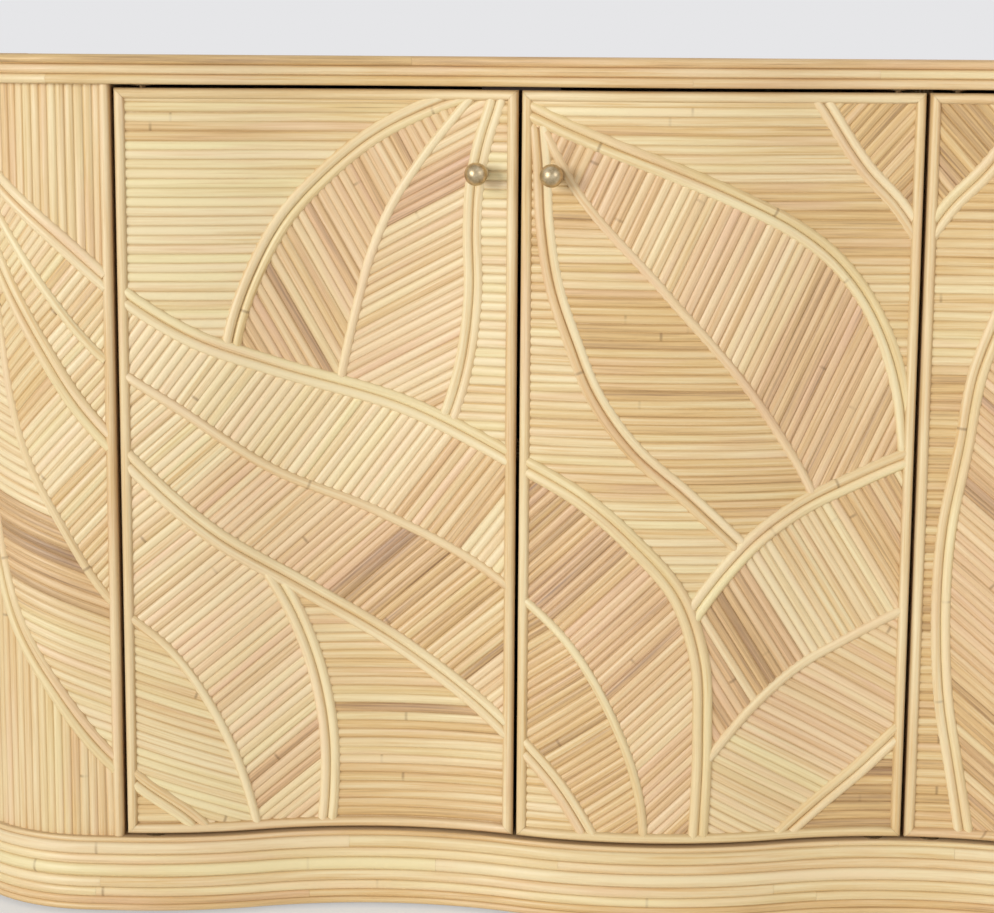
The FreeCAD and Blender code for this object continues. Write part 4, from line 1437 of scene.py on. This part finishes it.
@dataclass
class BallKnob:
    """Turned ball knob on a short neck and a foot."""

    bench: Bench
    ball: float = 21.0
    reach: float = 19.0
    foot: float = 14.0
    foot_height: float = 2.5
    neck: float = 8.0
    flare: float = 0.4
    seat: float = 5.1
    easing: float = 0.6
    turns: int = 48
    corner_steps: int = 5
    cove_steps: int = 9
    ball_steps: int = 28
    on_axis: float = 1e-6
    crease: float = math.radians(40)

    def profile(self) -> Array:
        """Outline half of the knob, from the foot's middle to the tip.

        Returns:
            Radius and distance from the seat, one pair to a row.
        """
        ball, neck, rim = self.ball / 2, self.neck / 2, self.foot / 2 - self.easing
        corner = np.linspace(0, math.pi / 2, self.corner_steps)
        rise, run = self.easing * np.sin(corner), self.easing * np.cos(corner)
        start = math.asin(neck / ball)
        cove = (self.reach - ball * math.cos(start) - self.foot_height) / 2
        bend = np.linspace(-math.pi / 2, math.pi / 2, self.cove_steps)[1:-1]
        sphere = np.linspace(start, math.pi, self.ball_steps)
        parts = ((rim + rise, self.easing - run), (rim + run, self.foot_height - self.easing + rise),
                 (neck + self.flare * cove * (1 - np.cos(bend)),
                  self.foot_height + cove + cove * np.sin(bend)),
                 (ball * np.sin(sphere), self.reach - ball * np.cos(sphere)))
        return np.concatenate([[(0.0, 0.0)], *(np.stack(part, axis=1) for part in parts)])

    def piece(self, name: str, along: float, level: float) -> Piece:
        """Turn the knob at a place on the front, square to the face there.

        Args:
            name: Name of the piece.
            along: Place along the front.
            level: Height over the floor.

        Returns:
            The knob, in place.
        """
        seats, normals = self.bench.plan.place(np.array([(along, level)]), self.seat)
        outward = Vector(normals[0])
        upward = Vector((0, 0, 1))
        turning = Matrix((upward.cross(outward), upward, outward)).transposed()
        shape = bmesh.new()
        rings = []
        for radius, depth in self.profile():
            count = self.turns if radius > self.on_axis else 1
            angles = [2 * math.pi * step / count for step in range(count)]
            spots = [Vector((radius * math.cos(a), radius * math.sin(a), depth)) for a in angles]
            rings.append([shape.verts.new(Vector(seats[0]) + turning @ spot * MM) for spot in spots])
        for first, second in zip(rings, rings[1:]):
            for step in range(self.turns):
                after = (step + 1) % self.turns
                corners = [first[step % len(first)], first[after % len(first)],
                           second[after % len(second)], second[step % len(second)]]
                shape.faces.new(list(dict.fromkeys(corners)))
        return shaped_piece(name, shape, self.bench.brass, self.crease)


@dataclass
class ReedDoor:
    """One door: its cladding, its frame of beads and its knob."""

    bench: Bench
    panel: Panel
    knob_from_edge: float = 32.25
    tuck: float = 7.0

    def build(self) -> None:
        """Make the door's pieces and hang them on its body."""
        name = self.panel.value
        low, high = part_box(f"{name}_core")
        left, right = low.x / MM, high.x / MM
        bottom, top = low.z / MM, high.z / MM
        cladding = Cladding(self.bench, self.panel, (left + self.tuck, bottom + self.tuck),
                            (right - self.tuck, top - self.tuck))
        cladding.build(name)
        frame = BeadFrame(self.bench, cladding.grader)
        outer, inner = ([(left + inset, bottom + inset), (right - inset, bottom + inset),
                         (right - inset, top - inset), (left + inset, top - inset)]
                        for inset in (0.0, frame.width))
        for start in range(4):
            end = (start + 1) % 4
            frame.bead((outer[start], outer[end]), (inner[start], inner[end]))
        settle(frame.piece(f"{name}_mitred_beads"), name, "reed", f"{name}_edge_beads")
        knob_low, knob_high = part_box(f"{name}_knob")
        level = (knob_low.z + knob_high.z) / 2 / MM
        meets_right = self.panel in (Panel.LEFT_OUTER, Panel.RIGHT_INNER)
        along = right - self.knob_from_edge if meets_right else left + self.knob_from_edge
        ball = (knob_high.z - knob_low.z) / MM
        knob = BallKnob(self.bench, ball).piece(f"{name}_ball_knob", along, level)
        settle(knob, name, "brass", f"{name}_knob")


@dataclass
class ReedEnd:
    """One rounded end: its cladding and the bead that the outer door closes to."""

    bench: Bench
    panel: Panel
    tuck: float = 5.5

    def build(self) -> None:
        """Make the cladding and the bead and fix them to the carcass."""
        name = self.panel.value
        low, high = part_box(f"{name}_panel")
        side = -1 if self.panel is Panel.LEFT_END else 1
        edge = min(abs(low.x), abs(high.x)) / MM
        bottom, top = low.z / MM, high.z / MM
        span = sorted((side * (edge + self.tuck), side * self.bench.plan.reach))
        cladding = Cladding(self.bench, self.panel, (span[0], bottom), (span[1], top),
                            rib_reach=0.0, rib_ends=1.0, rib_tuck=0.0)
        cladding.build("carcass")
        frame = BeadFrame(self.bench, cladding.grader)
        far = side * (edge + frame.width)
        frame.bead(((side * edge, bottom), (side * edge, top)), ((far, bottom), (far, top)))
        settle(frame.piece(f"{name}_edge_bead"), "carcass", "reed", "end_edge_beads")


@dataclass(frozen=True)
class Row:
    """One row of a band: how much of the band's height it takes, and its tone."""

    height: float
    tone: float


@dataclass
class ReedBand:
    """Rows of reed round the front and both ends, pressed together, each of several lengths."""

    bench: Bench
    node: str
    section: Section
    rows: tuple[Row, ...]
    seed: int
    overhang: float = 6.0
    first_length: Span = (150.0, 1150.0)
    lengths: Span = (420.0, 1150.0)
    joint_gap: float = 0.15
    bend_step: float = 12.0
    pressing: float = 1.06
    tone_spread: float = 0.1
    most_blush: float = 0.15

    def build(self) -> None:
        """Make the rows from the lowest up and fix them to the carcass."""
        low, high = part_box(self.node)
        share = (high.z - low.z) / MM / sum(row.height for row in self.rows)
        grader = Grader(self.seed)
        bundle = ReedBundle(sink=0.0)
        reach = self.bench.plan.reach
        bottom = low.z / MM
        for row in self.rows:
            tall = row.height * share
            level = bottom + tall / 2
            bottom += tall
            breadth = tall * self.pressing / self.section.value.width
            for start, end in grader.lengths((-reach, reach), self.first_length, self.lengths):
                count = max(2, math.ceil((end - start) / self.bend_step) + 1)
                along = np.linspace(start, end - self.joint_gap, count)
                line = np.stack([along, np.full(count, level)], axis=1)
                tone = row.tone + grader.draw.uniform(-self.tone_spread, self.tone_spread)
                cane = grader.cane(tone, grader.draw.uniform(0, self.most_blush))
                bundle.add(self.bench.plan, line, replace(cane, breadth=breadth), self.overhang)
        self.bench.fit(f"{self.node}_rows", bundle, self.section, "carcass", self.node)


# Rows from the lowest up, of canes given one by one
# The darker tones of the top row and the two lowest rows are partly cane tone and partly painted shade:
# the top row's from the doors above it, the lowest rows' from facing down and standing back
PLINTH_ROWS = (Row(6.5, 0.34), Row(7.6, 0.42), Row(9.1, 0.13), Row(10.5, 0.16), Row(12.5, 0.05),
               Row(9.5, 0.2), Row(12.0, 0.1), Row(4.8, 0.3))
TOP_ROWS = (Row(1.0, 0.28), Row(1.0, 0.3), Row(1.0, 0.5))


@dataclass
class ReedTop:
    """Top surface: reeds laid lengthwise inside border reeds that follow the edge."""

    bench: Bench
    seed: int = 301
    overhang: float = 6.0
    borders: int = 2
    edge_look: Span = (0.15, 0.1)
    lay: Lay = Lay(0, 0.2, 0.1, pitch=8.7)
    first_length: Span = (120.0, 1300.0)
    lengths: Span = (500.0, 1300.0)
    joint_gap: float = 0.6
    bend_step: float = 12.0

    def _edge(self, inset: float) -> Array:
        """Follow the edge round the front and both ends, moved in by an inset.

        Args:
            inset: How far to move it in.

        Returns:
            Places across and in depth, one to a row.
        """
        reach = self.bench.plan.reach - inset
        along = np.linspace(-reach, reach, math.ceil(2 * reach / self.bend_step))
        places = np.stack([along, np.zeros_like(along)], axis=1)
        points, _ = self.bench.plan.place(places, self.overhang - inset)
        return points[:, :2] / MM

    def build(self) -> None:
        """Make the surface and fix it to the carcass."""
        low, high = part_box("top_reeds")
        face = Level(low.z / MM)
        back = high.y / MM
        grader = Grader(self.seed)
        bundle = ReedBundle(sink=0.0)
        pitch = self.lay.pitch
        for number in range(self.borders):
            inset = pitch * (number + 0.5)
            edge = self._edge(inset)
            bundle.add(face, edge, grader.cane(*self.edge_look))
            rear = np.stack([np.linspace(edge[0, 0], edge[-1, 0], 2), [back - inset] * 2], axis=1)
            bundle.add(face, rear, grader.cane(self.lay.tone, self.lay.blush))
        inner = self._edge(pitch * self.borders - pitch / 4)
        direction, normal = np.eye(2)
        offsets = np.arange(back - pitch * self.borders - pitch / 2, inner[:, 1].min(), -pitch)
        for offset, looks in zip(offsets, grader.batches(self.lay, offsets, normal)):
            for row in spans(inner, normal * offset, direction):
                for start, end in grader.lengths(row, self.first_length, self.lengths,
                                                 2 * self.joint_gap):
                    line = np.array([(start, offset), (end - self.joint_gap, offset)])
                    bundle.add(face, line, grader.cane(*looks[0][0]))
        self.bench.fit("top_reed_surface", bundle, Section.TOP, "carcass", "top_reeds")


@dataclass
class Carcass:
    """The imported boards, fittings and fasteners, dressed in their finishes."""

    frame: Mapping[str, Any]
    pale: str = "#DCC298"
    dark: str = "#C4A274"
    level: tuple[str, ...] = ("bottom_board", "top_board", "left_shelf", "right_shelf",
                              "plinth_back_rail")
    upright: tuple[str, ...] = ("left_upright", "right_upright", "centre_partition",
                                "plinth_cross_rails")

    def _board(self, name: str, *ways: Axis) -> Material:
        """Plywood finish for boards that lie one way."""
        return Plywood(f"birch_plywood_{name}", self.pale, self.dark, *ways).material()

    def build(self) -> None:
        """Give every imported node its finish, by its slot and the way it lies."""
        level = self._board("level", Axis.WIDTH, Axis.HEIGHT, Axis.DEPTH)
        upright = self._board("upright", Axis.HEIGHT, Axis.WIDTH, Axis.DEPTH)
        boards = {**dict.fromkeys(self.level, level), **dict.fromkeys(self.upright, upright)}
        bent = (Axis.HEIGHT, Axis.DEPTH, Axis.WIDTH)
        finishes = {
            "plywood": self._board("bent", *bent),
            "back_plywood": Plywood("back_plywood_unfinished", "#CBB088", "#AE8C61", *bent,
                                    grain_width=7.0).material(),
            "bush_brass": Metal("browned_bush_brass", "#7A6340", "#5A462A", smooth=0.4, rough=0.55,
                                cloud=3.0, metallic=0.3).material(),
            "steel": Metal("antique_bronze_plated_steel", "#7A6142", "#5A4630", smooth=0.4,
                           rough=0.55, cloud=4.0).material(),
            "catch_plastic": Moulded("moulded_abs_brown", "#4A3322", "#5B4230").material(),
            "glide_plastic": Moulded("moulded_nylon_dark", "#332B24", "#453B32").material(),
        }
        for name, node in self.frame["nodes"].items():
            for slot in node.material_slots:
                finish = boards.get(name, finishes.get(slot.material.name))
                if finish:
                    slot.material = finish
            LOG.info("%s is dressed", name)


# Studio
@dataclass(frozen=True)
class Lamp:
    """Square soft lamp: its place, what it is aimed at, the length of its side and its power."""

    name: str
    place: tuple[float, float, float]
    target: tuple[float, float, float]
    side: float
    watts: float

    def build(self) -> None:
        """Hang the lamp and aim it."""
        data = bpy.data.lights.new(self.name, "AREA")
        data.shape = "SQUARE"
        data.size = self.side * MM
        data.energy = self.watts
        lamp = bpy.data.objects.new(self.name, data)
        origin = Vector(self.place) * MM
        aim = Vector(self.target) * MM - origin
        lamp.rotation_euler = aim.to_track_quat("-Z", "Y").to_euler()
        lamp.location = origin
        bpy.context.scene.collection.objects.link(lamp)


LAMPS = (Lamp("key_light", place=(-7050, -8160, 2790), target=(-250, 0, 420), side=4160, watts=592),
         Lamp("fill_light", place=(2400, -3000, 1700), target=(100, 0, 400), side=2000, watts=21),
         Lamp("back_light", place=(4800, 5900, 5900), target=(0, 100, 450), side=5000, watts=400))


@dataclass
class Studio:
    """Camera, plain soft light, pale floor and pale surroundings."""

    camera_place: tuple[float, float, float] = (-294.6, -2357.6, 804.6)
    yaw: float = 0.0418
    pitch: float = 0.1668
    roll: float = 0.0068
    focal_pixels: float = 2384.23
    image_width: float = 994.0
    sensor: float = 36.0
    nearest: float = 50.0
    floor_colour: str = "#EFEFEE"
    floor_size: float = 16000.0
    floor_grain: float = 25.0
    floor_roughness: Span = (0.6, 0.8)
    floor_glow: float = 0.5
    wall_colour: str = "#E6E6E8"
    light_colour: str = "#FFFFFF"
    light_strength: float = 0.39

    def build(self) -> None:
        """Make everything that shows the object but is not part of it."""
        scene = bpy.context.scene
        scene.view_settings.view_transform = "Standard"
        scene.camera = self._camera()
        self._floor()
        self._world()
        for lamp in LAMPS:
            lamp.build()

    def _camera(self) -> Piece:
        """Make the camera, fitted to the photographed view.

        Returns:
            The camera.
        """
        data = bpy.data.cameras.new("camera")
        data.sensor_fit = "HORIZONTAL"
        data.sensor_width = self.sensor
        data.lens = self.focal_pixels / self.image_width * self.sensor
        data.clip_start = self.nearest * MM
        camera = bpy.data.objects.new("camera", data)
        ahead = Vector((-math.sin(self.yaw), math.cos(self.yaw), 0))
        right = Vector((math.cos(self.yaw), math.sin(self.yaw), 0))
        forward = math.cos(self.pitch) * ahead - math.sin(self.pitch) * Vector((0, 0, 1))
        up = math.sin(self.pitch) * ahead + math.cos(self.pitch) * Vector((0, 0, 1))
        rolled_right = math.cos(self.roll) * right + math.sin(self.roll) * up
        rolled_up = -math.sin(self.roll) * right + math.cos(self.roll) * up
        turning = Matrix((rolled_right, rolled_up, -forward)).transposed()
        place = Matrix.Translation(Vector(self.camera_place) * MM)
        camera.matrix_world = place @ turning.to_4x4()
        bpy.context.scene.collection.objects.link(camera)
        return camera

    @staticmethod
    def _seen(tree: Tree) -> Node:
        """Tell what the camera sees, straight or in a mirror, from what only lights or shades.

        Args:
            tree: Tree of the material or the world.

        Returns:
            Node that gives one where the camera sees a surface, and nought elsewhere.
        """
        path = add_node(tree, "ShaderNodeLightPath").outputs
        mirrored = add_node(tree, "ShaderNodeMath", (
            path["Is Glossy Ray"], path["Is Transmission Ray"]), operation="MAXIMUM")
        return add_node(tree, "ShaderNodeMath", (path["Is Camera Ray"], mirrored),
                        operation="MAXIMUM")

    def _floor(self) -> None:
        """Pale matt floor, half of its paleness its own, so that shadows on it stay light."""
        half = self.floor_size / 2 * MM
        mesh = bpy.data.meshes.new("studio_floor")
        mesh.from_pydata([(-half, -half, 0), (half, -half, 0), (half, half, 0), (-half, half, 0)],
                         [], [(0, 1, 2, 3)])
        material, tree = empty_material("matt_floor_paint")
        node = partial(add_node, tree)
        grain = node("ShaderNodeTexNoise", {
            "Vector": node("ShaderNodeTexCoord").outputs["Object"],
            "Scale": 1 / (self.floor_grain * MM)})
        roughness = node("ShaderNodeMapRange", (grain, 0.0, 1.0, *self.floor_roughness))
        colour = linear(self.floor_colour)
        paint = node("ShaderNodeBsdfPrincipled", {"Base Color": colour, "Roughness": roughness})
        glow = node("ShaderNodeEmission", {"Color": colour})
        share = node("ShaderNodeMath", (self._seen(tree), self.floor_glow), operation="MULTIPLY")
        shader = node("ShaderNodeMixShader", (share, paint, glow))
        node("ShaderNodeOutputMaterial", {"Surface": shader})
        mesh.materials.append(material)
        link_piece("studio_floor", mesh)

    def _world(self) -> None:
        """Even light from all round, and a pale wall colour where the surroundings are seen."""
        world = bpy.data.worlds.new("studio")
        world.use_nodes = True
        tree = world.node_tree
        tree.nodes.clear()
        node = partial(add_node, tree)
        light = node("ShaderNodeBackground", {
            "Color": linear(self.light_colour), "Strength": self.light_strength})
        wall = node("ShaderNodeBackground", {"Color": linear(self.wall_colour)})
        mixed = node("ShaderNodeMixShader", (self._seen(tree), light, wall))
        node("ShaderNodeOutputWorld", {"Surface": mixed})
        bpy.context.scene.world = world


def main() -> None:
    """Load the frame, dress it and set it in the studio."""
    logging.basicConfig(level=logging.INFO, format="%(name)s: %(message)s")
    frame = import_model()
    Carcass(frame).build()
    aged_brass = Metal("aged_satin_brass", "#D6C4A2", "#A08C6A", smooth=0.3, rough=0.42, cloud=6.0)
    bench = Bench(Plan.from_frame(), ReedTree(), SplitReed().material(), aged_brass.material())
    for panel in (Panel.LEFT_OUTER, Panel.LEFT_INNER, Panel.RIGHT_INNER, Panel.RIGHT_OUTER):
        ReedDoor(bench, panel).build()
    for panel in (Panel.LEFT_END, Panel.RIGHT_END):
        ReedEnd(bench, panel).build()
    ReedBand(bench, "plinth_reed_band", Section.PLINTH, PLINTH_ROWS, seed=201).build()
    ReedBand(bench, "top_reed_band", Section.TOP_EDGE, TOP_ROWS, seed=202).build()
    ReedTop(bench).build()
    Studio().build()


if __name__ == "__main__":
    main()
